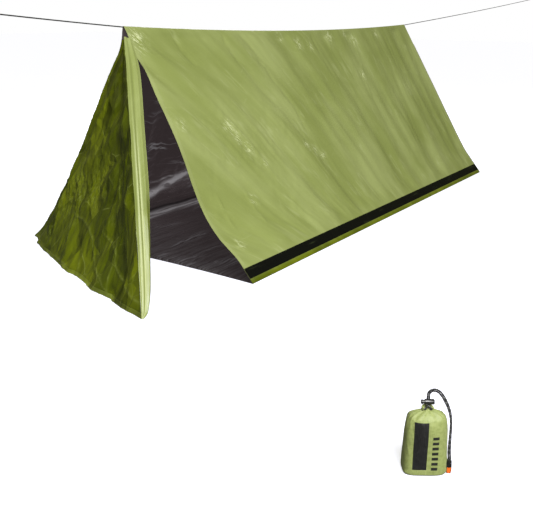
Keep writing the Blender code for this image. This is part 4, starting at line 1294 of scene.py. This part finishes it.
def floorPlace(s, t):
    # The floor film's underside; its thickness goes up from there.
    x = mix(-tentLength / 2, tentLength / 2, s)
    y = mix(-halfWidth, halfWidth, t)
    front = np.exp(-s * tentLength / floorShape["recessReach"])
    bow = 1 - (t / floorShape["recessPlace"] - 1) ** 2
    x = x + floorShape["recess"] * np.clip(bow, 0, 1) * front
    seed = floorShape["seed"]
    rng = np.random.default_rng(seed)
    drift, endShare = floorShape["drift"], floorShape["endShare"]
    movedX, movedY = x + waver(x, y, rng, drift, 0.45), y + waver(x, y, rng, drift, 0.4)
    edge = smooth(np.minimum(t, 1 - t) / floorShape["calm"])
    edge = edge * smooth(s / endShare + 0.2) * smooth((1 - s) / endShare + 0.2)
    lift = foldLayer(floorShape["broad"], movedX, movedY, seed, 70, 2)
    lift += foldLayer(floorShape["facet"], movedX, movedY, seed + 1, 50, 3)
    lift = np.clip(lift + floorShape["rise"], 0, 1)
    roll = (y - floorShape["backRollPlace"]) / floorShape["backRollWidth"]
    roll = floorShape["backRoll"] * np.exp(-(roll**2))
    roll = roll * (0.75 + waver(x, y * 0, rng, 0.35, 0.5)) * smooth(s / 0.05) * smooth((1 - s) / 0.05)
    z = tent["film"] + 0.0003 + (lift + np.clip(roll, 0, 1)) * edge
    return np.stack([x, y, z], axis=-1)


def floorMarks(s, t):
    edge = np.minimum(s, 1 - s) * tentLength
    y = mix(-halfWidth, halfWidth, t)
    front = np.exp(-s * tentLength / floorShape["mouthFade"])
    (place, half), (onStrip, atMouth) = floorShape["litStrip"], floorShape["litShares"]
    # painted light: a strip along the far wall and more near the mouth
    lit = np.maximum(onStrip * np.exp(-(((y - place) / half) ** 4)), atMouth * front)
    (place, half), (everywhere, atMouth) = floorShape["paintedShadeStrip"], floorShape["paintedShadeShares"]
    # painted shade: a dark line at the far wall's foot, and the whole floor a little darker, more at the
    # mouth
    seam = np.maximum(np.exp(-(((y - place) / half) ** 2)), everywhere + atMouth * front)
    # the floor's outer face takes the painted-shade colours
    return {"hem": edge, "crush": lit, "pale": 0 * s, "seam": seam}


def makeFloor():
    piece = filmSheet(
        "tentFloor", (floorShape["columns"], floorShape["rows"]), floorPlace, (0, 0, -1), tent["film"],
        (outerFilm, innerFilm), floorMarks, lambda s, t: (t * 2 * halfWidth, s * tentLength),
    )
    pieceDone(piece, "tent", "film", "tent_floor")


makeFloor()
print("floor and tape made")


doorShape = {
    "hingeOut": 0.0011,
    "hingeX": 1.2208,
    "outerX": 1.2213,
    "flapGap": 0.004,
    "bottomLift": 0.002,
    "topCut": 0.045,
    "gatherRun": 0.10,         # how far below its top the door is gathered
    "gatherShare": 0.80,
    "gatherPlace": 0.70,       # where it gathers, from the hinge edge to the free edge
    "flapWidth": 0.060,
    "flapShares": (
        (0, 0.22), (0.03, 0.58), (0.13, 0.86), (0.4, 0.92),
        (0.6, 0.90), (0.8, 0.90), (0.9, 0.80), (1, 0.5),
    ),
    "flapRoll": 0.0075,
    "leafColumns": 185,
    "flapColumns": 30,
    "rows": 185,
    "droop": 0.30,             # share of the height over which the film hangs down to the ground
    "groundBow": 0.040,
    "dish": 0.022,             # how far the leaf is drawn in between its edges
    "billow": 0.007,
    "blendStart": 0.050,
    "blendEnd": 0.150,
    "restBend": 0.090,         # over which the film at the hinge edge turns to the leaf
    "broad": {"pitch": 0.150, "run": 0.330, "depth": 0.0120},
    "facet": {"pitch": 0.060, "run": 0.100, "depth": 0.0030},
    "crushed": {"pitch": 0.022, "run": 0.036, "depth": 0.0032},
    "hingeLump": 0.0045,       # the hinge edge is lumpy, always outwards of the wall's edge
    "topPleat": 0.004,
    "flapCrease": {"pitch": 0.018, "run": 0.110, "depth": 0.0004},
    "tuck": 0.020,             # how far the flap's foot turns in
    "ground": 0.0012,          # lowest height of its film
    "creaseSize": (0.0045, 0.0024),
    # half width and share of the painted highlights along the creases, and share of the painted sheen on
    # the flap's folds
    "creaseGlintWidth": 0.0028,
    "creaseGlint": 0.54,
    "foldSheen": 0.76,
    "flat": (1.14, 0.86),
    "area": 0.52,
    # places across the flap and half width of its streaks of painted sheen
    "foldPlaces": (0.22, 0.45),
    "foldWidth": 0.05,
    "patches": (
        (0.20, 0.42, 0.095), (0.13, 0.33, 0.070), (0.30, 0.52, 0.080),
        (0.04, 0.03, 0.060), (0.12, 0.20, 0.06),
    ),
    # long creases on the flat leaf, metres off the hinge edge and up it
    "lines": (
        (
            (0.218, 0.353), (0.304, 0.399), (0.385, 0.430), (0.442, 0.435),
            (0.503, 0.413), (0.594, 0.431), (0.691, 0.465),
        ),
        ((0.637, 0.529), (0.710, 0.551), (0.788, 0.575), (0.893, 0.608)),
        ((0.506, 0.662), (0.578, 0.672)),
        ((0.486, 0.493), (0.609, 0.535)),
        ((0.303, 0.623), (0.382, 0.617)),
        ((0.346, 0.735), (0.426, 0.720), (0.419, 0.658), (0.467, 0.624)),
        ((0.269, 0.189), (0.377, 0.268), (0.497, 0.318)),
        ((0.266, 0.190), (0.481, 0.314), (0.691, 0.421), (0.766, 0.443)),
        ((0.399, 0.373), (0.493, 0.308)),
        ((0.551, 0.547), (0.620, 0.534), (0.680, 0.472)),
    ),
}


def doorShares(s, t):
    # shares across the leaf and its flap, and the place on the flat leaf: off the hinge edge and up it
    leafShare = doorShape["leafColumns"] / (doorShape["leafColumns"] + doorShape["flapColumns"])
    a = np.clip(s / leafShare, 0, 1)
    b = np.clip((s - leafShare) / (1 - leafShare), 0, 1)
    _, slant, lean = wallSection(0.0)
    along = mix(doorShape["bottomLift"], slant - doorShape["topCut"], t)
    span = 2 * (halfWidth - along * np.sin(lean))
    return a, b, along, a * span * np.cos(lean), along + a * span * np.sin(lean)


def doorLines(x, y, end, width, height):
    # place after the film's drift and the long creases there, the same for the relief and its painted
    # highlights
    rng = np.random.default_rng(41 + end)
    x, y = x + waver(x, y, rng, 0.010, 0.35), y + waver(x, y, rng, 0.010, 0.3)
    if end > 0:
        return x, y, np.zeros_like(x)
    return x, y, creaseHeights(x, y, lineCreases(doorShape["lines"], width, height, 0.18, rng))


def doorRelief(x, y, end):
    # height of the leaf's creases, metres off the hinge edge and up it
    x, y, lines = doorLines(x, y, end, *doorShape["creaseSize"])
    total = foldLayer(doorShape["broad"], x, y, 43 + end, -24, 2)
    total += foldLayer(doorShape["facet"], x, y, 45 + end, 30, 3)
    if end < 0:
        total += patchShare(x, y, doorShape["patches"]) * foldLayer(doorShape["crushed"], x, y, 51, 40, 2)
    return total + lines


def doorHinge():
    # Foot and axis of the front door's hinge edge, and the way from it over the shut leaf.
    _, _, lean = wallSection(0.0)
    foot = Vector(wallPlace(1, np.array([0.0]), np.array([0.0]), doorShape["hingeOut"])[0])
    foot.x = -doorShape["hingeX"]
    across, up = math.cos(lean), math.sin(lean)
    return foot, Vector((0, up, -across)), Vector((0, -across, -up))


def doorFilm(end, restDegrees, s, t):
    # Outer face of a door's film and its flap, end -1 front and +1 rear, at its rest angle.
    a, b, along, x, y = doorShares(s, t)
    zero = np.zeros_like(t)
    _, slant, lean = wallSection(0.0)
    hingeSide, hingeU = (1, 0.0) if end < 0 else (-1, 1.0)
    hang = hangDepth(hingeSide, zero + hingeU, along, zero + slant)
    upright = np.sin(np.pi * t) ** 0.5
    lumps = np.clip(crumple(along, zero, 71, 0.035, 1.0, 0, 2) + 0.2, 0, 1) * upright * (end < 0)
    hinge = wallPlace(1, zero, along, doorShape["hingeOut"] - hang + doorShape["hingeLump"] * lumps)
    free = wallPlace(-1, zero, along, zero + doorShape["flapGap"])
    top = (slant - doorShape["topCut"] - along) / doorShape["gatherRun"]
    gather = mix(doorShape["gatherShare"], 1.0, smooth(top))[:, None]
    middle = mix(hinge, free, doorShape["gatherPlace"]) * (1, 0, 1)
    middle[:, 1] = mix(hinge[:, 1], free[:, 1], doorShape["gatherPlace"])
    hinge, free = middle + (hinge - middle) * gather, middle + (free - middle) * gather
    points = mix(hinge, free, a[:, None])
    points[:, 0] = -doorShape["outerX"]
    out = doorRelief(x, y, end)
    out -= doorShape["dish"] * np.sin(np.pi * a**1.5) * upright
    out += doorShape["billow"] * np.sin(np.pi * 3.3 * a + 2.2 * t + 0.6) ** 2 * upright
    out += doorShape["topPleat"] * np.sin(np.pi * 6.5 * a) * (1 - smooth(top))
    points[:, 0] -= out * smooth(x / 0.10) * smooth((1 - a) / 0.12)
    width = doorShape["flapWidth"] * fromTable(doorShape["flapShares"], t)
    ridges = np.exp(-(((b - 0.20) / 0.16) ** 2)) + 0.9 * np.exp(-(((b - 0.74) / 0.17) ** 2))
    roll = doorShape["flapRoll"] * ridges * smooth(b / 0.12) * smooth((1.15 - b) / 0.3)
    roll *= 0.35 + 0.65 * np.sin(np.pi * t) ** 0.6
    roll += foldLayer(doorShape["flapCrease"], b * 0.055, along, 47 + end, 12, 2) * smooth(b / 0.1)
    tuck = doorShape["tuck"] * smooth((b - 0.72) / 0.28) * smooth((0.42 - t) / 0.3)
    flap = b > 0
    points[flap, 0] += (width * b)[flap]
    points[flap, 1] -= ((roll - tuck) * np.cos(lean))[flap]
    points[flap, 2] += ((roll - tuck) * np.sin(lean))[flap]
    foot, axis, _ = (np.array(part) for part in doorHinge())
    # the film next to the hinge edge stays with the wall, and the rest turns with the leaf
    swing = np.radians(restDegrees) * np.where(flap, 1.0, smooth(x / doorShape["restBend"]))[:, None]
    arm = points - foot
    still = axis * (arm @ axis)[:, None]
    points = foot + arm * np.cos(swing) + np.cross(axis, arm) * np.sin(swing) + still * (1 - np.cos(swing))
    if end < 0:
        low = smooth(1 - t / doorShape["droop"])
        bottom = np.zeros_like(t)
        for column in np.unique(np.round(s, 6)):
            same = np.abs(s - column) < 1e-5
            bottom[same] = points[same, 2][np.argmin(t[same])]
        points[:, 2] -= (bottom - doorShape["ground"]) * low
        points[:, 0] -= doorShape["groundBow"] * np.sin(np.pi * a**0.7) * low * ~flap
    points[:, 2] = np.maximum(points[:, 2], doorShape["ground"])
    if end > 0:
        points[:, :2] = -points[:, :2]
    return points


def doorMarks(end, s, t):
    # What the finishes read, as for the walls, with the share of painted highlights and painted sheen.
    _, b, along, x, y = doorShares(s, t)
    flap = b > 1e-4
    side = np.where(flap, 0.008 + (1 - b) * doorShape["flapWidth"], 1.0)
    # the crushed patches of the front leaf get painted glints
    near = patchShare(x, y, doorShape["patches"]) * np.where(flap | (end > 0), 0.0, 0.5)
    # the two folds of the flap get streaks of painted sheen towards its foot
    folds = sum(np.exp(-(((b - place) / doorShape["foldWidth"]) ** 2)) for place in doorShape["foldPlaces"])
    rub = doorShape["foldSheen"] * np.clip(folds, 0, 1) * smooth((0.74 - t) / 0.42) * flap
    _, _, lines = doorLines(x, y, end, doorShape["creaseGlintWidth"], 1.0)
    rub = np.maximum(rub, doorShape["creaseGlint"] * np.clip(lines, 0, 1) * ~flap)
    # painted shade: the flap's far facet near its foot is darker, and the flap and the rear door grow
    # darker towards their foot
    paintedLeeShade = 0.70 * smooth((b - 0.62) / 0.08) * smooth((0.42 - t) / 0.12)
    paintedLeeShade = np.maximum(paintedLeeShade, 0.25 * smooth((0.6 - t) / 0.3))
    # the front door's leaf takes the painted-shade colours
    pale = np.where(flap | (end > 0), 1.0 - paintedLeeShade, 0.0)
    net = np.where(flap, 0.0, 1.0)
    return {"hem": np.minimum(along, side), "crush": near, "pale": pale, "rub": rub, "net": net}


def doorFoldMap(s, t):
    # the flat leaf itself, so that its creases keep their size up to its top
    _, b, _, x, y = doorShares(s, t)
    return x + b * doorShape["flapWidth"], y


def makeDoor(name, end, restDegrees, node):
    counts = (doorShape["leafColumns"] + doorShape["flapColumns"], doorShape["rows"])
    door = filmSheet(
        name, counts, lambda s, t: doorFilm(end, restDegrees, s, t), (end, 0.2, 0), tent["film"],
        (outerFilm, innerFilm), lambda s, t: doorMarks(end, s, t), doorFoldMap,
    )
    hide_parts(node)
    foot, axis, away = doorHinge()
    away.rotate(Matrix.Rotation(math.radians(restDegrees), 3, axis))
    if end > 0:
        half = Matrix.Rotation(math.pi, 3, "Z")
        foot, away = half @ foot, half @ away
    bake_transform(door)


makeDoor("frontDoor", -1, 30.0, "front_door")
makeDoor("rearDoor", 1, 0.0, "rear_door")
print("doors made")


# Stuff sack: a filled ripstop bag with a gathered neck
sackCloth = {
    # share of height, width share, depth share, depth of the neck's gathers
    "shape": (
        (0.000, 0.925, 0.89, 0.0), (0.010, 0.965, 0.95, 0.0), (0.035, 0.990, 0.98, 0.0),
        (0.08, 1.0, 1.0, 0.0), (0.30, 1.0, 1.0, 0.0), (0.60, 0.985, 1.0, 0.0),
        (0.75, 0.955, 0.97, 0.006), (0.86, 0.90, 0.86, 0.025), (0.925, 0.80, 0.68, 0.060),
        (0.965, 0.60, 0.50, 0.110), (0.990, 0.36, 0.35, 0.15), (1.000, 0.21, 0.27, 0.09),
    ),
    "square": 0.78,
    "footSquare": 0.50,
    "around": 240,
    "up": 150,
    "gathers": 13,
    "fill": 0.85,
    "cloth": 0.0005,
    "neckRadius": 0.0052,
    "neckRise": 0.0042,
    "sag": 0.00066,
    "seamReach": 0.00002,
    "swell": {"pitch": 0.034, "run": 0.052, "depth": 0.0016},
    "neckCreases": {"pitch": 0.013, "run": 0.045, "depth": 0.0020},
    "footCreases": {"pitch": 0.030, "run": 0.010, "depth": 0.0014},
    # count, then limits of the place round and up, angle in degrees, length, half width and height
    "creases": (
        (30, (0, 0.24), (0.085, 0.13), (70, 110), (0.015, 0.045), (0.0016, 0.0032), (0.0006, 0.0015)),
        (26, (0, 0.24), (0.0, 0.03), (-30, 30), (0.01, 0.05), (0.0016, 0.0030), (0.0003, 0.0009)),
    ),
    "mapSize": (0.232, 0.170),
    "ripstop": 0.0029,
    "colour": (0.315, 0.365, 0.125),
    "gridColour": (0.385, 0.43, 0.175),
    "deepColour": (0.23, 0.275, 0.075),
    "block": ((-0.0275, 0.0005), (0.0150, 0.1165)),
    "bars": {"across": (0.0095, 0.0225), "low": 0.0140, "pitch": 0.0112, "thick": 0.0062, "count": 7},
    "ink": (0.0025, 0.0025, 0.003),
}


def makeSackFinish():
    material, tree, shader = newMaterial(
        "sackRipstop", 0.5, specular=0.4, coat=0.15, coatRoughness=0.3, sheen=0.1
    )
    flat = mapNode(tree, flatPlace(tree), scale=(1 / sackCloth["ripstop"], 1 / sackCloth["ripstop"], 1))
    weave = useGroup(tree, ripstopWeave, flat, Threads=9.0)
    drift = rampNode(tree, weave.outputs["Drift"], 0.3, 0.7)
    tone = colourMix(tree, drift, sackCloth["deepColour"], sackCloth["colour"])
    lit = colourMix(tree, times(tree, weave.outputs["Grid"], 0.55), tone, sackCloth["gridColour"])
    sackPlace = (*sackSettings["place"], 0)
    inputs = {"Vector": objectPlace(tree), "Location": sackPlace, "Rotation": (0, 0, sackTurn)}
    place = addNode(tree, "ShaderNodeMapping", inputs, vector_type="TEXTURE")
    split = addNode(tree, "ShaderNodeSeparateXYZ", {0: place.outputs["Vector"]})

    def between(source, low, high):
        inner = mathNode(tree, "GREATER_THAN", source, low)
        return times(tree, inner, mathNode(tree, "LESS_THAN", source, high))

    (blockLeft, blockRight), (blockLow, blockHigh) = sackCloth["block"]
    x, y, z = split.outputs["X"], split.outputs["Y"], split.outputs["Z"]
    block = times(tree, between(x, blockLeft, blockRight), between(z, blockLow, blockHigh))
    bars = sackCloth["bars"]
    run = mathNode(tree, "SUBTRACT", z, bars["low"])
    repeat = mathNode(tree, "FLOORED_MODULO", run, bars["pitch"])
    mark = mathNode(tree, "LESS_THAN", repeat, bars["thick"])
    column = between(z, bars["low"], bars["low"] + bars["pitch"] * bars["count"])
    mark = times(tree, mark, times(tree, column, between(x, *bars["across"])))
    printed = mathNode(tree, "MAXIMUM", block, mark)
    printed = times(tree, printed, mathNode(tree, "LESS_THAN", y, 0.0))
    rough = rampNode(tree, weave.outputs["Drift"], 0.3, 0.7, 0.42, 0.56)
    rough = mathNode(tree, "SUBTRACT", rough, times(tree, printed, 0.12))
    dress(tree, shader, colourMix(tree, printed, lit, sackCloth["ink"]), rough)
    addBump(tree, shader, weave.outputs["Height"], 0.00022, 0.8)
    return material


sackFinish = makeSackFinish()


def sackSurface(angle, up):
    # Outer face of the filled sack in its own frame, for angles round it and shares up it.
    table = sackCloth["shape"]
    wide, deep, gather = (fromTable([(row[0], row[k]) for row in table], up, 14) for k in (1, 2, 3))
    c, s = np.cos(angle), np.sin(angle)
    pleat = 1 - gather * (0.5 - 0.5 * np.cos(sackCloth["gathers"] * angle + 1.4 * np.sin(2 * angle)))
    power = mix(sackCloth["footSquare"], sackCloth["square"], smooth(up / 0.6))
    power = mix(power, 1.0, smooth((up - 0.90) / 0.10))
    x = sackSettings["width"] / 2 * wide * np.sign(c) * np.abs(c) ** power * pleat
    y = sackSettings["depth"] / 2 * deep * np.sign(s) * np.abs(s) ** power * pleat
    z = sackSettings["height"] * up
    return x, y, z


def closeCloth(piece, points, mapSize, thickness):
    # Lays a grid on a closed surface of the sack's frame, with its seam joined and its map in metres.
    mesh = piece.data
    mesh.vertices.foreach_set("co", fromSack(points).ravel())
    layer = mesh.uv_layers[0]
    maps = np.empty(len(layer.uv) * 2, np.float32)
    layer.uv.foreach_get("vector", maps)
    maps = maps.reshape(-1, 2) * mapSize
    layer.uv.foreach_set("vector", maps.astype(np.float32).ravel())
    bpy.ops.object.mode_set(mode="EDIT")
    bpy.ops.mesh.select_all(action="SELECT")
    bpy.ops.mesh.remove_doubles(threshold=sackCloth["seamReach"])
    bpy.ops.mesh.normals_make_consistent(inside=False)
    bpy.ops.object.mode_set(mode="OBJECT")
    mesh.materials.append(sackFinish)
    thicken(piece, thickness)


def sackSwell(angle, height):
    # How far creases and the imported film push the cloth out.
    rng = np.random.default_rng(61)
    girth = angle / (2 * np.pi) * 0.24
    tall = height * sackSettings["height"]
    rows = []
    for limits in sackCloth["creases"]:
        rows += scatter(rng, *limits, 0.8)
    swell = creaseHeights(girth, tall, rows)
    groups = 0.35 + 0.65 * slowMask(girth, tall, 63, 0.035, 0.3, 0.7)
    swell += foldLayer(sackCloth["swell"], girth, tall, 62, 15, 3) * groups
    swell += foldLayer(sackCloth["neckCreases"], girth, tall, 64, 0, 2) * smooth((height - 0.68) / 0.25)
    swell += foldLayer(sackCloth["footCreases"], girth, tall, 65, 0, 2) * smooth((0.12 - height) / 0.1)
    return np.maximum(swell, -0.0005) + 0.0003


def makeSack():
    sack, s, t = newGrid("sackBody", sackCloth["around"], sackCloth["up"])
    angle = 2 * np.pi * s
    floorPart, neckPart = 0.10, 0.05
    height = np.clip((t - floorPart) / (1 - floorPart - neckPart), 0, 1)
    height = mix(height, height**0.8, 0.4)
    x, y, z = sackSurface(angle, height)
    swell = sackSwell(angle, height)
    wrap = smooth(np.minimum(s, 1 - s) / 0.03)
    calm = smooth(height / 0.03) * smooth((1 - height) / 0.02)
    swell = swell * wrap - sackCloth["sag"] * np.sin(np.pi * height)
    push = 1 + swell * calm / np.maximum(np.hypot(x, y), 0.004)
    x, y = x * push, y * push
    base = t < floorPart
    share = t[base] / floorPart
    x[base], y[base], z[base] = x[base] * share, y[base] * share, 0.0006 * (1 - share)
    neck = t > 1 - neckPart
    share = (t[neck] - (1 - neckPart)) / neckPart
    radius = sackCloth["neckRadius"]
    ringX, ringY = radius * np.cos(angle[neck]), radius * np.sin(angle[neck])
    blendShare = smooth(share / 0.35)
    x[neck], y[neck] = mix(x[neck], ringX, blendShare), mix(y[neck], ringY, blendShare)
    z[neck] = sackSettings["height"] + sackCloth["neckRise"] * share
    points = np.stack([x, y, z + 0.0004], axis=-1)
    closeCloth(sack, points, sackCloth["mapSize"], sackCloth["cloth"])
    pieceDone(sack, "sack", "ripstop", "sack_body")


makeSack()


hemShape = {"stations": 200, "sides": 32, "pleats": 17, "pleat": 0.0009, "mapSize": (0.052, 0.020)}


def makeHem():
    # The pleated channel round the neck, drawn open at its front.
    hem, s, t = newGrid("sackHem", hemShape["stations"], hemShape["sides"])
    bore = sackSettings["cordDiameter"] / 2 + sackSettings["hemBoreClearance"]
    half = sackSettings["hemOpeningDegrees"] / 2
    sweep = np.radians(mix(half, 360 - half, s) - 90)
    angle = 2 * np.pi * t
    turn = 2 * np.pi * hemShape["pleats"] * s + 0.8 * np.sin(9 * s) + 0.5 * np.sin(angle)
    fold = (0.5 - 0.5 * np.cos(turn)) * smooth(np.cos(angle) + 0.5)
    radius = bore + sackSettings["hemWall"] + hemShape["pleat"] * fold
    out = sackSettings["hemRing"] + radius * np.cos(angle)
    z = hemHeight() + radius * np.sin(angle)
    points = np.stack([out * np.cos(sweep), out * np.sin(sweep), z], axis=-1)
    closeCloth(hem, points, hemShape["mapSize"], sackSettings["hemWall"] * 0.8)
    pieceDone(hem, "sack", "ripstop", "sack_hem")


makeHem()
print("sack made")


# Moulded parts: the lock and the whistle keep their solids and get their finishes
plasticFinishes = {
    # colour, colour of its scuffs, roughness, coat
    "lockPlastic": ((0.012, 0.012, 0.013), (0.06, 0.06, 0.062), 0.28, 0.4),
    "whistleBlack": ((0.010, 0.010, 0.011), (0.07, 0.07, 0.072), 0.22, 0.6),
    "whistleOrange": ((0.78, 0.155, 0.018), (0.90, 0.32, 0.10), 0.38, 0.2),
}


def makePlastic(name):
    colour, rubbed, roughness, coat = plasticFinishes[name]
    material, tree, shader = newMaterial(name, roughness, coat=coat, coatRoughness=0.12)
    grain = useGroup(tree, mouldGrain, objectPlace(tree), Scale=1400.0)
    scuff = times(tree, grain.outputs["Scuff"], 0.35)
    rough = rampNode(tree, grain.outputs["Drift"], 0.3, 0.7, roughness - 0.05, roughness + 0.1)
    dress(tree, shader, colourMix(tree, scuff, colour, rubbed), rough)
    addBump(tree, shader, grain.outputs["Height"], 0.00004, 0.35)
    return material


def makeSteel():
    material, tree, shader = newMaterial("springSteel", 0.3, metallic=1.0)
    grain = useGroup(tree, mouldGrain, objectPlace(tree), Scale=2500.0)
    drawn = colourMix(tree, grain.outputs["Drift"], (0.42, 0.42, 0.44), (0.62, 0.62, 0.64))
    dress(tree, shader, drawn, rampNode(tree, grain.outputs["Height"], 0.3, 0.7, 0.22, 0.4))
    return material


def makePackedFinish():
    material, tree, shader = newMaterial("packedFilm", 0.4, specular=0.45)
    place = objectPlace(tree)
    folds = useGroup(tree, filmFolds, place, Pitch=160.0, Run=40.0)
    lined = colourMix(tree, folds.outputs["Lines"], filmColours["deep"], filmColours["lit"])
    tree.links.new(lined, shader.inputs["Base Color"])
    addBump(tree, shader, folds.outputs["Height"], 0.001, 0.7)
    return material


roundShading = {"reach": 0.000002, "sharp": math.radians(32)}


def paintNode(node, finish):
    piece = bpy.data.objects[node]
    for place in piece.material_slots:
        place.material = finish
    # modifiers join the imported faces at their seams, so that they shade round up to sharp edges
    piece.data.shade_smooth()
    if node != "cord_lock_spring":
        piece.modifiers.new("joinFaces", "WELD").merge_threshold = roundShading["reach"]
        piece.modifiers.new("keepEdges", "EDGE_SPLIT").split_angle = roundShading["sharp"]


plastics = {name: makePlastic(name) for name in plasticFinishes}
for node, finish in (
    ("cord_lock_barrel", plastics["lockPlastic"]),
    ("cord_lock_plunger", plastics["lockPlastic"]),
    ("whistle_shell", plastics["whistleBlack"]),
    ("whistle_insert", plastics["whistleOrange"]),
    ("cord_lock_spring", makeSteel()),
    ("packed_bundle", makePackedFinish()),
):
    paintNode(node, finish)


def squashSpring():
    # the plunger presses the hidden spring against the end of its bore; here the spring only gets a mesh of
    # its own, its points left as they are
    spring = bpy.data.objects["cord_lock_spring"]
    spots = np.empty(len(spring.data.vertices) * 3)
    spring.data.vertices.foreach_get("co", spots)
    spots = spots.reshape(-1, 3)
    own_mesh(spring)


squashSpring()

print("lock and whistle finished")


# Pale floor and soft light
studio = {
    "floorSize": 60.0,
    "floorColour": (0.78, 0.78, 0.96),
    "floorGlow": 0.64,
    "glowColour": (0.96, 0.96, 1.0),
    "floorBounce": (0.09, 0.09, 0.08),
    "skyLight": 0.17,
    "skyColour": (1.0, 1.0, 0.42),
    "sunFrom": (-0.30, -0.58, 0.76),
    "sunStrength": 1.32,
    "sunSpreadDegrees": 16.0,
    "softAreas": (
        {"place": (-3.4, -2.9, 2.2), "aim": (-1.5, -0.5, 0.25), "size": 2.2, "power": 138.0},
        {"place": (3.2, 3.6, 2.4), "aim": (0.2, 0.4, 0.3), "size": 3.0, "power": 150.0},
    ),
}


def seenApart(tree, lighting, seen, output):
    # The camera sees one shader while the scene is lit by another.
    path = addNode(tree, "ShaderNodeLightPath")
    inputs = {0: path.outputs["Is Camera Ray"], 1: lighting.outputs[0], 2: seen.outputs[0]}
    choose = addNode(tree, "ShaderNodeMixShader", inputs)
    tree.links.new(choose.outputs[0], tree.nodes[output].inputs["Surface"])


def makeStudio():
    bpy.ops.object.select_all(action="DESELECT")
    bpy.ops.mesh.primitive_plane_add(size=studio["floorSize"], location=(0, 0, 0))
    floor = bpy.context.active_object
    floor.name = "studioFloor"
    material, tree, shader = newMaterial("paleFloor", 0.9, specular=0.1, coatRoughness=0.03)
    shader.inputs["Base Color"].default_value = (*studio["floorColour"], 1)
    shader.inputs["Emission Color"].default_value = (*studio["glowColour"], 1)
    shader.inputs["Emission Strength"].default_value = studio["floorGlow"]
    dark = addNode(tree, "ShaderNodeBsdfDiffuse", {"Color": (*studio["floorBounce"], 1)})
    seenApart(tree, dark, shader, "Material Output")
    floor.data.materials.append(material)
    world = bpy.data.worlds.new("softSky")
    bpy.context.scene.world = world
    world.use_nodes = True
    tree = world.node_tree
    light = tree.nodes["Background"]
    light.inputs["Color"].default_value = (*studio["skyColour"], 1)
    light.inputs["Strength"].default_value = studio["skyLight"]
    seen = addNode(tree, "ShaderNodeBackground", {"Color": (1, 1, 1, 1), "Strength": 1.0})
    seenApart(tree, light, seen, "World Output")
    direction = Vector(studio["sunFrom"])
    turn = direction.to_track_quat("Z", "Y").to_euler()
    bpy.ops.object.light_add(type="SUN", location=direction * 4, rotation=turn)
    sun = bpy.context.active_object.data
    sun.energy = studio["sunStrength"]
    sun.angle = math.radians(studio["sunSpreadDegrees"])
    for area in studio["softAreas"]:
        place = Vector(area["place"])
        aim = (place - Vector(area["aim"])).to_track_quat("Z", "Y").to_euler()
        bpy.ops.object.light_add(type="AREA", location=place, rotation=aim)
        soft = bpy.context.active_object.data
        soft.size = area["size"]
        soft.energy = area["power"]
    bpy.context.scene.view_settings.view_transform = "Standard"


makeStudio()
print("studio made")
